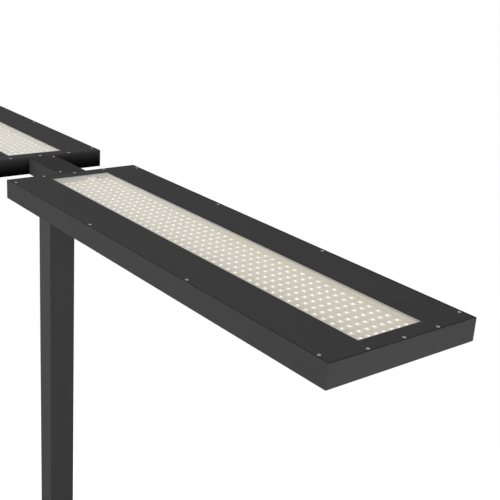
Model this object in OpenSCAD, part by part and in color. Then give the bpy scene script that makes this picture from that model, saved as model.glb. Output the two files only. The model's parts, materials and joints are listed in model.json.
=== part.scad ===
// Office floor lamp with two long flat heads on one post. The heads light the ceiling from
// a field of small lights behind a clear pane, and the desk through a panel underneath.
// Millimetres. The origin is the middle of the base, on the floor. The heads run along X.

/* [Stand] */
// Height of the heads' top above the floor
lamp_height = 1950; // [1850:10:2050]
// Length of the base plate, along the heads
base_length = 620; // [560:10:700]
// Width of the base plate
base_width = 440; // [400:10:500]
// Thickness of the base plate
base_thickness = 10; // [8:1:14]
// Rounding of the base plate's corners
base_corner = 24; // [10:2:40]
// Height of the rubber pads under the base plate
pad_height = 3; // [2:0.5:5]
// Diameter of the rubber pads
pad_diameter = 36; // [24:2:44]
// Post width along the heads
post_depth = 52; // [48:1:60]
// Post width across the heads
post_width = 60.5; // [56:0.5:68]
// Wall of the post
post_wall = 2.5; // [2:0.25:3.5]
// Height of the steel block at the foot of the post
foot_block_height = 40; // [30:2:60]
// Height of the steel block at the top of the post
head_block_height = 32; // [24:2:44]

/* [Heads] */
// Length of one head
head_length = 960; // [900:10:1020]
// Width of one head
head_width = 300; // [292:2:330]
// Height of a head from its underside to its top
head_height = 38; // [37:1:46]
// Wall of the head's housing
head_wall = 2.5; // [2:0.25:3]
// Wall of the housing's outer end
outer_wall = 1.5; // [1.25:0.25:2.5]
// Thickness of the housing's underside
head_floor = 2; // [1.5:0.25:3]
// Rounding of the housing's upright edges
head_corner = 1.2; // [0.6:0.2:2]
// Open line between the housing's rim and the top cover
rim_gap = 1.3; // [0.8:0.1:2]
// Thickness of the top cover
cover_thickness = 1.5; // [1:0.25:2]
// Margin between the window and each end of the head
window_end_margin = 33; // [31:1:40]
// Width of the window in the top cover
window_width = 128; // [112:2:132]
// Depth of the lit board's face below the head's top
board_depth = 12.5; // [11:0.5:14]

/* [Lights] */
// Number of lights along one head
light_columns = 46; // [40:1:48]
// Number of rows of lights
light_rows = 8; // [6:1:9]
// Side of one light
light_size = 2.8; // [2.2:0.2:3.4]
// Height of one light
light_height = 0.7; // [0.4:0.1:1.2]
// Open margin between the first column and the window's inner end
light_inner_margin = 10.9; // [9.5:0.1:14]
// Open margin between the last column and the window's outer end
light_outer_margin = 16.7; // [4:0.1:20]
// Open margin between the last row and the window's side
light_side_margin = 7.5; // [4:0.5:12]

/* [Arm] */
// Length of the arm between the heads
arm_length = 146; // [140:2:170]
// Width of the arm
arm_width = 61; // [58:1:66]
// Wall of the arm's sides
arm_wall = 2.5; // [2:0.25:3]
// Thickness of the arm's floor
arm_floor = 3; // [2.5:0.25:4]
// Thickness of the arm's two end plates
arm_end_plate = 5; // [4:0.5:6]
// Open line between the arm's skin and a head
arm_seam = 0.8; // [0.4:0.1:1.2]

/* [Controls] */
// Height of the middle of the control panel above the floor
panel_height = 1040; // [950:5:1150]
// Width of the control panel
panel_width = 34; // [32:1:40]
// Length of the control panel, along the post
panel_length = 104; // [100:2:130]
// Thickness of the control panel
panel_thickness = 3; // [2.5:0.25:4]
// Diameter of a push button
button_diameter = 14; // [12:1:15]
// Distance between two push buttons
button_pitch = 24; // [22:1:26]
// How far a button stands out of its panel
button_proud = 1.6; // [1.4:0.1:2.4]
// Travel of a push button
button_travel = 1.2; // [0.6:0.1:1.3]

/* [Fasteners and fits] */
// Diameter of the small screws
small_screw = 3; // [2.5:0.25:3.5]
// Diameter of the bolts between head and arm
head_bolt = 5; // [4:0.5:6]
// Diameter of the bolts at the top of the post
top_bolt = 6; // [5:0.5:7]
// Diameter of the bolts under the base plate
base_bolt = 8; // [6:0.5:10]
// Bore of the cable gland
gland_bore = 8; // [7:0.5:9]
// Radial clearance round a screw
screw_clearance = 0.06; // [0.03:0.01:0.15]
// Radial clearance round a push button
button_clearance = 0.09; // [0.05:0.01:0.1]
// Clearance round a plate or block that drops into a housing
drop_clearance = 0.25; // [0.15:0.05:0.4]

/* [Hidden] */
$fn = 48;
overrun = 1;
touch = 0.1;

// Heights along the post
base_top = pad_height + base_thickness;
head_bottom = lamp_height - head_height;

// Stack of a head, measured up from its underside
cover_seat = head_height - cover_thickness;
pane_thickness = 3;
pane_sink = 0.2;
pane_seat = head_height - pane_sink - pane_thickness;
board_thickness = 1.6;
board_top = head_height - board_depth;
board_seat = board_top - board_thickness;
board_lip = 5;
tray_thickness = 1.5;
tray_seat = board_seat - tray_thickness;
diffuser_thickness = 2;
guide_thickness = 4;
film_thickness = 0.5;
guide_seat = head_floor + diffuser_thickness;
film_seat = guide_seat + guide_thickness;
chassis_thickness = 1.5;
chassis_seat = film_seat + film_thickness;
chassis_top = chassis_seat + chassis_thickness;

// Window and light field
window_length = head_length - 2 * window_end_margin;
column_pitch = (window_length - light_inner_margin - light_outer_margin - light_size)
    / (light_columns - 1);
row_pitch = (window_width - 2 * light_side_margin - light_size) / (light_rows - 1);

// Frame that lines the window and carries the pane
frame_wall = 2;
frame_collar = 0.8;
frame_flange = 6;
frame_ledge = 1.2;
pane_rest = 1;
light_well = frame_collar + pane_rest;
lead_socket_y = 25;
lead_socket_length = 17;
lead_socket_depth = 7;
lead_socket_height = 4;

// Screws of the top cover
cover_screw_edge = 8;
boss_overlap = 0.4;
boss_radius = cover_screw_edge - head_wall + boss_overlap;
cover_screw_end = outer_wall + boss_radius - boss_overlap;
cover_screw_first = 26.5;
cover_screw_spacing = 71;
long_edge_screws = 4;
short_edge_screws = 3;
cover_screw_pitch = (head_length - 2 * cover_screw_first) / (long_edge_screws - 1);
cover_screw_length = 9;
long_edge_places = [
    for (i = [0 : long_edge_screws - 1], side = [-1, 1])
        [cover_screw_first + i * cover_screw_pitch, side * (head_width / 2 - cover_screw_edge)]
];
short_edge_places = [
    for (j = [0 : short_edge_screws - 1], x = [cover_screw_end, head_length - cover_screw_end])
        [x, (j - (short_edge_screws - 1) / 2) * cover_screw_spacing]
];
cover_screw_places = concat(long_edge_places, short_edge_places);
screw_radius = small_screw / 2;
screw_hole = screw_radius + screw_clearance;
screw_head = 0.95 * small_screw;
screw_head_height = 0.6 * small_screw;
button_head_height = 0.3 * small_screw;
button_crown_share = 0.75;
button_socket_share = 0.75;
socket_share = 0.5;

// Panel underneath the head
downlight_lip = 5;
diffuser_gap = 3.5;
standoff_wall = 2;
standoff_radius = screw_radius + standoff_wall;
standoff_inset = cover_screw_edge + boss_radius + diffuser_gap + standoff_radius - small_screw / 2;
diffuser_side_inset = standoff_inset + standoff_radius + diffuser_gap;
diffuser_end_inset = cover_screw_end + boss_radius + 4 * diffuser_gap;
diffuser_length = head_length - 2 * diffuser_end_inset;
diffuser_width = head_width - 2 * diffuser_side_inset;
strip_thickness = 1.6;
standoff_end = 100;
standoff_columns = 3;
standoff_places = [
    for (i = [0 : standoff_columns - 1], side = [-1, 1])
        [standoff_end + i * (head_length - 2 * standoff_end) / (standoff_columns - 1),
         side * (head_width / 2 - standoff_inset)]
];
standoff_screw_length = chassis_thickness + 0.5 * (chassis_seat - head_floor);

// Chassis plate, board tray and light frame
chassis_gap = 0.6;
chassis_inset = cover_screw_edge + boss_radius + chassis_gap;
chassis_half = head_width / 2 - chassis_inset;
tray_half = window_width / 2 + frame_flange + 2 * tray_thickness;
tray_length = window_length + 2 * frame_flange + 2 * tray_thickness;
tray_start = (head_length - tray_length) / 2;
tray_foot = 4 * small_screw;
tray_screw_columns = 3;
tray_screw_inset = 60;
tray_screw_places = [
    for (i = [0 : tray_screw_columns - 1], side = [-1, 1])
        [tray_start + tray_screw_inset
            + i * (tray_length - 2 * tray_screw_inset) / (tray_screw_columns - 1),
         side * (tray_half + tray_foot / 2 - tray_thickness / 2)]
];
driver_length = 280;
driver_width = 32;
driver_height = min(16, pane_seat - chassis_top);
driver_tab = 12;
driver_start = 72;
driver_y = tray_half + tray_foot + (chassis_half - tray_half - tray_foot) / 2 - small_screw / 2;
driver_screw_places = [
    [driver_start - driver_tab / 2, driver_y],
    [driver_start + driver_length + driver_tab / 2, driver_y]
];

// Wiring inside a head
supply_radius = 2.5;
lead_radius = 1.2;
cable_hole = 4.5;
cable_hole_y = 12;
cable_hole_z = head_height / 2;
supply_z = chassis_top + supply_radius + touch;
supply_x = (chassis_inset + tray_start) / 2;
wire_sides = 10;
bend_steps = 4;
bend_share = 3;
reach_share = 0.45;

// Bolts between head and arm
bolt_radius = head_bolt / 2;
bolt_hole = bolt_radius + screw_clearance;
bolt_head = 0.85 * head_bolt;
bolt_head_height = 0.55 * head_bolt;
bolt_y = 22;
bolt_rise = 9;
bolt_places = [for (side = [-1, 1], z = [bolt_rise, head_height - bolt_rise]) [side * bolt_y, z]];
bolt_length = head_wall + 0.9 * arm_end_plate;

// Arm
arm_start = arm_length / 2;
arm_cover_screw_x = [62, -60];
arm_cover_screw_y = [-24, 23];
arm_boss = arm_width / 2 - arm_wall + min(arm_cover_screw_y) + boss_overlap;
arm_cover_seat = head_height - cover_thickness;
loom_hole = 9;
top_bolt_x = 15;
top_bolt_y = 19;
top_bolt_places = [for (x = [-top_bolt_x, top_bolt_x], y = [-top_bolt_y, top_bolt_y]) [x, y]];
top_bolt_radius = top_bolt / 2;
top_bolt_hole = top_bolt_radius + screw_clearance;
top_bolt_head = 0.85 * top_bolt;
top_bolt_head_height = 0.6 * top_bolt;
top_bolt_grip = 0.75 * head_block_height;
terminal_length = 40;
terminal_depth = 15;
terminal_height = 12;
terminal_z = arm_floor + 2 * top_bolt_head_height + 2;
terminal_y = arm_width / 2 - arm_wall - terminal_depth;
sensor_radius = 8;
sensor_hole = sensor_radius + 2 * touch;
sensor_x = (post_depth / 2 + arm_length / 2 - arm_end_plate) / 2;
sensor_drop = 4;
sensor_flange = 1.5;
sensor_board_size = 24;
sensor_board_height = 1.6;

// Post
post_height = head_bottom - base_top;
post_inner_depth = post_depth - 2 * post_wall;
post_inner_width = post_width - 2 * post_wall;
post_corner = 1.2;
loom_radius = 3.5;
base_bolt_radius = base_bolt / 2;
base_bolt_hole = base_bolt_radius + screw_clearance;
base_bolt_head = 0.95 * base_bolt;
base_bolt_x = post_inner_depth / 2 - drop_clearance - base_bolt;
base_bolt_y = post_inner_width / 2 - drop_clearance - base_bolt;
base_bolt_places = [for (x = [-base_bolt_x, base_bolt_x], y = [-base_bolt_y, base_bolt_y]) [x, y]];
base_bolt_length = base_thickness + 0.7 * foot_block_height;
gland_z = base_top + foot_block_height + 30;
gland_radius = 8;
gland_hex = 11;
gland_flange = 6;
gland_nose = 12;
gland_thread = 12;
gland_nut_height = 4;
gland_bore_radius = gland_bore / 2;
mains_block_height = 30;
mains_block_depth = 14;
mains_block_width = 34;
mains_block_z = gland_z + gland_hex + mains_block_height / 2;
loom_y = post_inner_width / 2 - mains_block_depth / 2;

// Control panel
panel_face = post_width / 2 + panel_thickness;
panel_corner = 3;
button_radius = button_diameter / 2;
button_hole = button_radius + button_clearance;
button_flange = 1.4;
button_flange_height = 1.2;
button_rest = 0.1;
button_stem = 2;
slot_half_width = button_radius + button_flange + 2;
slot_half_length = button_pitch + slot_half_width + 4;
switch_side = 6;
switch_height = 3.5;
plunger_height = 1;
plunger_radius = 1.6;
control_board_depth = 13;
control_board_thickness = 1.6;
control_leg = 2.2;
control_leg_z = button_pitch + button_radius + button_flange + control_leg + 0.5 * control_leg;
board_face = post_width / 2 - control_board_depth;
stem_end = board_face + switch_height + plunger_height + button_travel + button_rest;
panel_screw_z = (slot_half_length + panel_length / 2) / 2;
panel_screw_length = panel_thickness + 0.8 * post_wall;

// Helpers

// Block centred on Y and starting at X zero and Z zero
module side_block(length, width, height) {
    translate([0, -width / 2, 0])
        cube([length, width, height]);
}

// Block centred on X and Y, standing on Z zero
module plate(length, width, height) {
    translate([-length / 2, -width / 2, 0])
        cube([length, width, height]);
}

// Plate with round upright corners, centred on X and Y
module round_plate(length, width, height, corner) {
    linear_extrude(height) {
        square([length - 2 * corner, width], center = true);
        square([length, width - 2 * corner], center = true);
        for (x = [-1, 1], y = [-1, 1])
            translate([x * (length / 2 - corner), y * (width / 2 - corner)])
                circle(corner);
    }
}

// Countersunk screw, pointing down, its head flush with Z zero
module flat_screw(radius, head, length) {
    cone = head - radius;
    difference() {
        union() {
            translate([0, 0, -cone])
                cylinder(h = cone, r1 = radius, r2 = head);
            translate([0, 0, -length])
                cylinder(h = length - cone / 2, r = radius);
        }
        translate([0, 0, -cone * socket_share])
            cylinder(h = cone, r = radius * socket_share, $fn = 6);
    }
}

// Hole that a countersunk screw leaves in its plate, down from Z zero
module flat_screw_cut(radius, head, depth, clearance) {
    cone = head - radius;
    translate([0, 0, -cone])
        cylinder(h = cone, r1 = radius + clearance, r2 = head + clearance);
    cylinder(h = overrun, r = head + clearance);
    translate([0, 0, -depth])
        cylinder(h = depth, r = radius + clearance);
}

// Round-headed screw, pointing down, the underside of its head at Z zero
module pan_screw(radius, head, head_height, length) {
    difference() {
        union() {
            cylinder(h = head_height, r = head);
            translate([0, 0, -length])
                cylinder(h = length + head_height / 2, r = radius);
        }
        translate([0, 0, head_height * socket_share])
            cylinder(h = head_height, r = radius * socket_share, $fn = 6);
    }
}

// Low round-headed screw with a sloping crown, pointing down, its head's underside at Z zero
module button_screw(radius, head, head_height, length) {
    difference() {
        union() {
            cylinder(h = head_height, r1 = head, r2 = head * button_crown_share);
            translate([0, 0, -length])
                cylinder(h = length + head_height / 2, r = radius);
        }
        translate([0, 0, head_height * socket_share])
            cylinder(h = head_height, r = radius * button_socket_share, $fn = 6);
    }
}

// Round wire through a list of points, with its corners rounded
function unit(v) = v / norm(v);

function bend_length(a, b, c, radius) =
    min(bend_share * radius, norm(a - b) * reach_share, norm(c - b) * reach_share);

function bend_points(a, b, c, radius) =
    let (
        reach = bend_length(a, b, c, radius),
        first = b + unit(a - b) * reach,
        last = b + unit(c - b) * reach
    )
    [
        for (i = [0 : bend_steps])
            let (t = i / bend_steps)
                (1 - t) * (1 - t) * first + 2 * t * (1 - t) * b + t * t * last
    ];

function route(points, radius) = [
    points[0],
    for (i = [1 : 1 : len(points) - 2])
        each bend_points(points[i - 1], points[i], points[i + 1], radius),
    points[len(points) - 1]
];

function heading(path, i) =
    i == 0 ? unit(path[1] - path[0])
    : i == len(path) - 1 ? unit(path[i] - path[i - 1])
    : unit(unit(path[i + 1] - path[i]) + unit(path[i] - path[i - 1]));

function side_of(v, along) = unit(v - (v * along) * along);

function sides(path, i, before) =
    i == len(path) ? []
    : let (side = side_of(before, heading(path, i))) concat([side], sides(path, i + 1, side));

function any_side(along) = abs(along.x) > abs(along.y) ? side_of([0, 1, 0], along)
    : side_of([1, 0, 0], along);

module wire(points, radius) {
    path = route(points, radius);
    count = len(path);
    side = sides(path, 0, any_side(heading(path, 0)));
    corners = [
        for (i = [0 : count - 1], k = [0 : wire_sides - 1])
            let (turn = 360 * k / wire_sides)
                path[i] + radius * (cos(turn) * side[i]
                    + sin(turn) * cross(heading(path, i), side[i]))
    ];
    walls = [
        for (i = [0 : count - 2], k = [0 : wire_sides - 1])
            let (
                a = i * wire_sides + k,
                b = i * wire_sides + (k + 1) % wire_sides,
                c = b + wire_sides,
                d = a + wire_sides
            )
                each [[a, c, b], [a, d, c]]
    ];
    start = [for (k = [0 : wire_sides - 1]) k];
    end = [for (k = [wire_sides - 1 : -1 : 0]) (count - 1) * wire_sides + k];
    polyhedron(points = corners, faces = concat(walls, [start, end]));
}

// Stand

module base_plate() {
    color("#3c3c3e")
        difference() {
            translate([0, 0, pad_height])
                round_plate(base_length, base_width, base_thickness, base_corner);
            for (place = base_bolt_places)
                translate([place.x, place.y, pad_height])
                    mirror([0, 0, 1])
                        flat_screw_cut(base_bolt_radius, base_bolt_head,
                            base_thickness + overrun, screw_clearance);
        }
}

module base_pads() {
    pad_x = base_length / 2 - base_corner - pad_diameter / 2;
    pad_y = base_width / 2 - base_corner - pad_diameter / 2;
    color("#1c1c1c")
        for (x = [-pad_x, 0, pad_x], y = [-pad_y, pad_y])
            translate([x, y, 0])
                cylinder(h = pad_height, r = pad_diameter / 2);
}

module base_bolts() {
    color("silver")
        for (place = base_bolt_places)
            translate([place.x, place.y, pad_height])
                mirror([0, 0, 1])
                    flat_screw(base_bolt_radius, base_bolt_head, base_bolt_length);
}

module foot_block() {
    color("#808285")
        difference() {
            translate([0, 0, base_top])
                plate(post_inner_depth - 2 * drop_clearance,
                    post_inner_width - 2 * drop_clearance, foot_block_height);
            for (place = base_bolt_places)
                translate([place.x, place.y, base_top - overrun])
                    cylinder(h = foot_block_height + 2 * overrun, r = base_bolt_hole);
        }
}

module post() {
    color("#48484a")
        difference() {
            translate([0, 0, base_top])
                round_plate(post_depth, post_width, post_height, post_corner);
            translate([0, 0, base_top - overrun])
                plate(post_inner_depth, post_inner_width, post_height + 2 * overrun);
            translate([0, 0, gland_z])
                rotate([-90, 0, 0])
                    cylinder(h = post_width, r = gland_radius + screw_clearance);
            translate([0, -post_width / 2, panel_height - slot_half_length])
                plate(2 * slot_half_width, 2 * post_wall + overrun, 2 * slot_half_length);
            for (z = [-panel_screw_z, panel_screw_z])
                translate([0, 0, panel_height + z])
                    rotate([90, 0, 0])
                        cylinder(h = post_width, r = screw_hole);
        }
}

module head_block() {
    color("#808285")
        difference() {
            translate([0, 0, head_bottom - head_block_height])
                plate(post_inner_depth - 2 * drop_clearance,
                    post_inner_width - 2 * drop_clearance, head_block_height);
            translate([0, 0, head_bottom - head_block_height - overrun]) {
                cylinder(h = head_block_height + 2 * overrun, r = loom_hole);
                for (place = top_bolt_places)
                    translate([place.x, place.y, 0])
                        cylinder(h = head_block_height + 2 * overrun, r = top_bolt_hole);
            }
        }
}

module cable_gland() {
    color("#232325")
        translate([0, post_width / 2, gland_z])
            rotate([-90, 0, 0])
                difference() {
                    union() {
                        cylinder(h = gland_flange, r = gland_hex, $fn = 6);
                        cylinder(h = gland_flange + gland_nose, r1 = gland_radius + 2 * touch,
                            r2 = gland_radius - 2);
                        translate([0, 0, -gland_thread])
                            cylinder(h = gland_thread + overrun, r = gland_radius);
                    }
                    translate([0, 0, -gland_thread - overrun])
                        cylinder(h = gland_thread + gland_flange + gland_nose + 2 * overrun,
                            r = gland_bore_radius);
                }
}

module gland_nut() {
    color("#232325")
        translate([0, post_width / 2 - post_wall - gland_nut_height, gland_z])
            rotate([-90, 0, 0])
                difference() {
                    cylinder(h = gland_nut_height, r = gland_hex, $fn = 6);
                    translate([0, 0, -overrun])
                        cylinder(h = gland_nut_height + 2 * overrun,
                            r = gland_radius + screw_clearance);
                }
}

module mains_terminal() {
    color("#e4e2dc")
        translate([0, post_inner_width / 2 - mains_block_depth / 2,
            mains_block_z - mains_block_height / 2])
            plate(mains_block_width, mains_block_depth, mains_block_height);
}

module supply_loom() {
    loom_start = mains_block_z + mains_block_height / 2;
    loom_bend = head_bottom - 3 * head_block_height;
    block_bottom = head_bottom - head_block_height;
    terminal_port = head_bottom + terminal_z + terminal_height / 2;
    board_back = control_board_thickness - board_face;
    color("#161617") {
        wire([[0, loom_y, loom_start], [0, loom_y, loom_bend],
            [0, 0, block_bottom - 2 * loom_radius], [0, 0, terminal_port],
            [0, terminal_y, terminal_port]], loom_radius);
        wire([[0, loom_y, panel_height], [0, board_back, panel_height]], lead_radius);
    }
}

// Controls

module control_panel() {
    color("#1d1d1f")
        translate([0, 0, panel_height])
            rotate([90, 0, 0])
                difference() {
                    union() {
                        translate([0, 0, post_width / 2])
                            round_plate(panel_width, panel_length, panel_thickness, panel_corner);
                        for (z = [-control_leg_z, control_leg_z])
                            translate([0, z, board_face])
                                cylinder(h = control_board_depth + overrun, r = control_leg);
                    }
                    for (i = [-1, 0, 1])
                        translate([0, i * button_pitch, post_width / 2 - overrun])
                            cylinder(h = panel_thickness + 2 * overrun, r = button_hole);
                    for (z = [-panel_screw_z, panel_screw_z])
                        translate([0, z, panel_face])
                            flat_screw_cut(screw_radius, screw_head, panel_thickness + overrun,
                                screw_clearance);
                }
}

module panel_screws() {
    color("silver")
        translate([0, 0, panel_height])
            rotate([90, 0, 0])
                for (z = [-panel_screw_z, panel_screw_z])
                    translate([0, z, panel_face])
                        flat_screw(screw_radius, screw_head, panel_screw_length);
}

module control_board() {
    color("#2f6b3c")
        translate([0, 0, panel_height])
            rotate([90, 0, 0]) {
                translate([0, 0, board_face - control_board_thickness])
                    plate(2 * (slot_half_width - control_leg), 2 * (control_leg_z + control_leg),
                        control_board_thickness);
                for (i = [-1, 0, 1])
                    translate([0, i * button_pitch, board_face]) {
                        plate(switch_side, switch_side, switch_height);
                        cylinder(h = switch_height + plunger_height, r = plunger_radius);
                    }
            }
}

// Push button at a place counted in button pitches above the middle of the panel
module push_button(place) {
    translate([0, 0, panel_height + place * button_pitch])
        rotate([90, 0, 0]) {
            translate([0, 0, post_width / 2 - button_rest])
                cylinder(h = panel_thickness + button_rest + button_proud, r = button_radius);
            translate([0, 0, post_width / 2 - button_rest - button_flange_height])
                cylinder(h = button_flange_height, r = button_radius + button_flange);
            translate([0, 0, stem_end])
                cylinder(h = post_width / 2 - button_rest - stem_end, r = button_stem);
        }
}

module power_button() {
    color("#9a9b9d")
        push_button(0);
}

module brighter_button() {
    color("#2a2a2c")
        push_button(1);
}

module dimmer_button() {
    color("#2a2a2c")
        push_button(-1);
}

// Arm

module arm_channel() {
    skin_length = arm_length - 2 * arm_seam;
    inner_width = arm_width - 2 * arm_wall;
    color("#454547")
        translate([0, 0, head_bottom])
            difference() {
                union() {
                    difference() {
                        plate(skin_length, arm_width, arm_cover_seat);
                        translate([0, 0, arm_floor])
                            plate(skin_length + 2 * overrun, inner_width, head_height);
                    }
                    for (side = [-1, 1])
                        translate([side * (arm_length - arm_end_plate) / 2, 0, arm_seam])
                            plate(arm_end_plate, arm_width - 2 * arm_seam,
                                arm_cover_seat - arm_seam);
                    for (i = [0, 1])
                        translate([arm_cover_screw_x[i], arm_cover_screw_y[i], arm_floor / 2])
                            cylinder(h = arm_cover_seat - arm_floor / 2, r = arm_boss);
                }
                for (i = [0, 1])
                    translate([arm_cover_screw_x[i], arm_cover_screw_y[i],
                        arm_cover_seat - cover_screw_length])
                        cylinder(h = cover_screw_length + overrun, r = screw_hole);
                for (side = [-1, 1])
                    translate([side * (arm_length - arm_end_plate) / 2, 0, 0])
                        rotate([0, 90, 0])
                            translate([0, 0, -arm_end_plate / 2 - overrun]) {
                                for (place = bolt_places)
                                    translate([-place.y, place.x, 0])
                                        cylinder(h = arm_end_plate + 2 * overrun, r = bolt_hole);
                                translate([-cable_hole_z, cable_hole_y, 0])
                                    cylinder(h = arm_end_plate + 2 * overrun, r = cable_hole);
                            }
                for (place = top_bolt_places)
                    translate([place.x, place.y, -overrun])
                        cylinder(h = arm_floor + 2 * overrun, r = top_bolt_hole);
                translate([0, 0, -overrun])
                    cylinder(h = arm_floor + 2 * overrun, r = loom_hole);
                translate([sensor_x, 0, -overrun])
                    cylinder(h = arm_floor + 2 * overrun, r = sensor_hole);
            }
}

module arm_cover() {
    color("#3a3a3c")
        translate([0, 0, head_bottom])
            difference() {
                translate([0, 0, arm_cover_seat])
                    plate(arm_length - 2 * arm_seam, arm_width, cover_thickness);
                for (i = [0, 1])
                    translate([arm_cover_screw_x[i], arm_cover_screw_y[i], arm_cover_seat - overrun])
                        cylinder(h = cover_thickness + 2 * overrun, r = screw_hole);
            }
}

module arm_cover_screws() {
    color("silver")
        for (i = [0, 1])
            translate([arm_cover_screw_x[i], arm_cover_screw_y[i], lamp_height])
                button_screw(screw_radius, screw_head, button_head_height, cover_screw_length);
}

module top_bolts() {
    color("silver")
        for (place = top_bolt_places)
            translate([place.x, place.y, head_bottom + arm_floor])
                pan_screw(top_bolt_radius, top_bolt_head, top_bolt_head_height,
                    arm_floor + top_bolt_grip);
}

module arm_terminal() {
    color("#e4e2dc")
        translate([0, arm_width / 2 - arm_wall - terminal_depth / 2, head_bottom + terminal_z])
            plate(terminal_length, terminal_depth, terminal_height);
}

module arm_wiring() {
    start_y = terminal_y + terminal_depth / 2;
    start_z = head_bottom + terminal_z + terminal_height / 2;
    sensor_lead_x = sensor_x - sensor_board_size / 4;
    sensor_top = head_bottom + arm_floor + sensor_flange + sensor_board_height;
    lead_level = (sensor_top + head_bottom + terminal_z) / 2;
    terminal_lead_x = terminal_length / 2 - 2 * lead_radius;
    color("#161617") {
        wire([[sensor_lead_x, 0, sensor_top], [sensor_lead_x, 0, lead_level],
            [terminal_lead_x, start_y, lead_level],
            [terminal_lead_x, start_y, head_bottom + terminal_z]], lead_radius);
        for (side = [-1, 1])
            wire([[side * terminal_length / 2, start_y, start_z],
                [side * (terminal_length / 2 + supply_radius), start_y, start_z],
                [side * (terminal_length / 2 + terminal_depth), cable_hole_y,
                    head_bottom + cable_hole_z],
                [side * arm_length / 2, cable_hole_y, head_bottom + cable_hole_z]],
                supply_radius);
    }
}

module sensor_lens() {
    color("#d9d9d4")
        translate([sensor_x, 0, head_bottom]) {
            translate([0, 0, arm_floor])
                cylinder(h = sensor_flange, r = sensor_radius + sensor_flange);
            cylinder(h = arm_floor + sensor_flange, r = sensor_radius);
            intersection() {
                dome_radius = (sensor_radius * sensor_radius + sensor_drop * sensor_drop)
                    / (2 * sensor_drop);
                translate([0, 0, dome_radius - sensor_drop])
                    sphere(dome_radius, $fn = 96);
                translate([0, 0, -sensor_drop])
                    cylinder(h = sensor_drop + overrun, r = sensor_radius);
            }
        }
}

module sensor_board() {
    color("#2f6b3c")
        translate([sensor_x, 0, head_bottom + arm_floor + sensor_flange])
            plate(sensor_board_size, sensor_board_size, sensor_board_height);
}

// Heads. Each module below draws the piece of a head whose inner end lies at X zero.

module head_housing() {
    color("#464648")
        difference() {
            union() {
                difference() {
                    translate([head_length / 2, 0, 0])
                        round_plate(head_length, head_width, head_height, head_corner);
                    translate([head_wall, 0, head_floor])
                        side_block(head_length - head_wall - outer_wall,
                            head_width - 2 * head_wall, head_height);
                    translate([diffuser_end_inset + downlight_lip, 0, -overrun])
                        side_block(diffuser_length - 2 * downlight_lip,
                            diffuser_width - 2 * downlight_lip, head_floor + 2 * overrun);
                }
                for (place = cover_screw_places)
                    translate([place.x, place.y, head_floor / 2])
                        cylinder(h = cover_seat - head_floor / 2, r = boss_radius);
                for (place = standoff_places)
                    translate([place.x, place.y, head_floor / 2])
                        cylinder(h = chassis_seat - head_floor / 2, r = standoff_radius);
            }
            for (place = cover_screw_places)
                translate([place.x, place.y, cover_seat - cover_screw_length])
                    cylinder(h = cover_screw_length + overrun, r = screw_hole);
            for (place = standoff_places)
                translate([place.x, place.y, head_floor])
                    cylinder(h = chassis_seat, r = screw_hole);
            for (place = bolt_places)
                translate([-overrun, place.x, place.y])
                    rotate([0, 90, 0])
                        cylinder(h = head_wall + 2 * overrun, r = bolt_hole);
            translate([-overrun, cable_hole_y, cable_hole_z])
                rotate([0, 90, 0])
                    cylinder(h = head_wall + 2 * overrun, r = cable_hole);
        }
}

module top_cover() {
    inner_inset = head_wall + rim_gap;
    outer_inset = outer_wall + rim_gap;
    color("#3a3a3c")
        difference() {
            translate([inner_inset, 0, cover_seat])
                side_block(head_length - inner_inset - outer_inset,
                    head_width - 2 * inner_inset, cover_thickness);
            translate([window_end_margin - touch, 0, cover_seat - overrun])
                side_block(window_length + 2 * touch, window_width + 2 * touch,
                    cover_thickness + 2 * overrun);
            for (place = cover_screw_places)
                translate([place.x, place.y, cover_seat - overrun])
                    cylinder(h = cover_thickness + 2 * overrun, r = screw_hole);
        }
}

module cover_screws() {
    color("silver")
        for (place = cover_screw_places)
            translate([place.x, place.y, head_height])
                button_screw(screw_radius, screw_head, button_head_height, cover_screw_length);
}

// Block as large as the window, grown by a margin on every side
module window_block(margin, height) {
    translate([window_end_margin - margin, 0, 0])
        side_block(window_length + 2 * margin, window_width + 2 * margin, height);
}

module pane() {
    color([0.9, 0.95, 0.95, 0.3])
        translate([0, 0, pane_seat])
            window_block(-frame_collar - touch, pane_thickness);
}

module light_frame() {
    color("#e9e6de")
        difference() {
            union() {
                translate([0, 0, board_top])
                    window_block(frame_wall, cover_seat - board_top);
                translate([0, 0, cover_seat - frame_ledge])
                    window_block(frame_flange, frame_ledge);
                translate([0, 0, cover_seat - frame_ledge])
                    window_block(0, frame_ledge + cover_thickness - pane_sink);
            }
            translate([0, 0, pane_seat])
                window_block(-frame_collar, head_height);
            translate([0, 0, board_top - overrun])
                window_block(-light_well, head_height);
        }
}

module light_board() {
    color("#f0ece2") {
        translate([0, 0, board_seat])
            window_block(board_lip, board_thickness);
        translate([window_end_margin + light_well + touch, lead_socket_y, board_seat])
            side_block(lead_socket_depth, lead_socket_length,
                board_thickness + lead_socket_height);
    }
}

module lights() {
    color("#fff4d0")
        for (i = [0 : light_columns - 1], j = [0 : light_rows - 1])
            translate([window_end_margin + light_inner_margin + i * column_pitch,
                -window_width / 2 + light_side_margin + j * row_pitch, board_top])
                cube([light_size, light_size, light_height]);
}

module board_tray() {
    color("#a7a9ac")
        translate([tray_start, 0, 0]) {
            translate([0, 0, tray_seat])
                side_block(tray_length, 2 * tray_half, tray_thickness);
            difference() {
                for (side = [-1, 1]) {
                    translate([0, side * (tray_half - tray_thickness / 2), chassis_top])
                        side_block(tray_length, tray_thickness, board_seat - chassis_top);
                    translate([0, side * (tray_half + tray_foot / 2 - tray_thickness / 2),
                        chassis_top])
                        side_block(tray_length, tray_foot + tray_thickness / 2, tray_thickness);
                }
                for (place = tray_screw_places)
                    translate([place.x - tray_start, place.y, chassis_top - overrun])
                        cylinder(h = tray_thickness + 2 * overrun, r = screw_hole);
            }
        }
}

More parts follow.
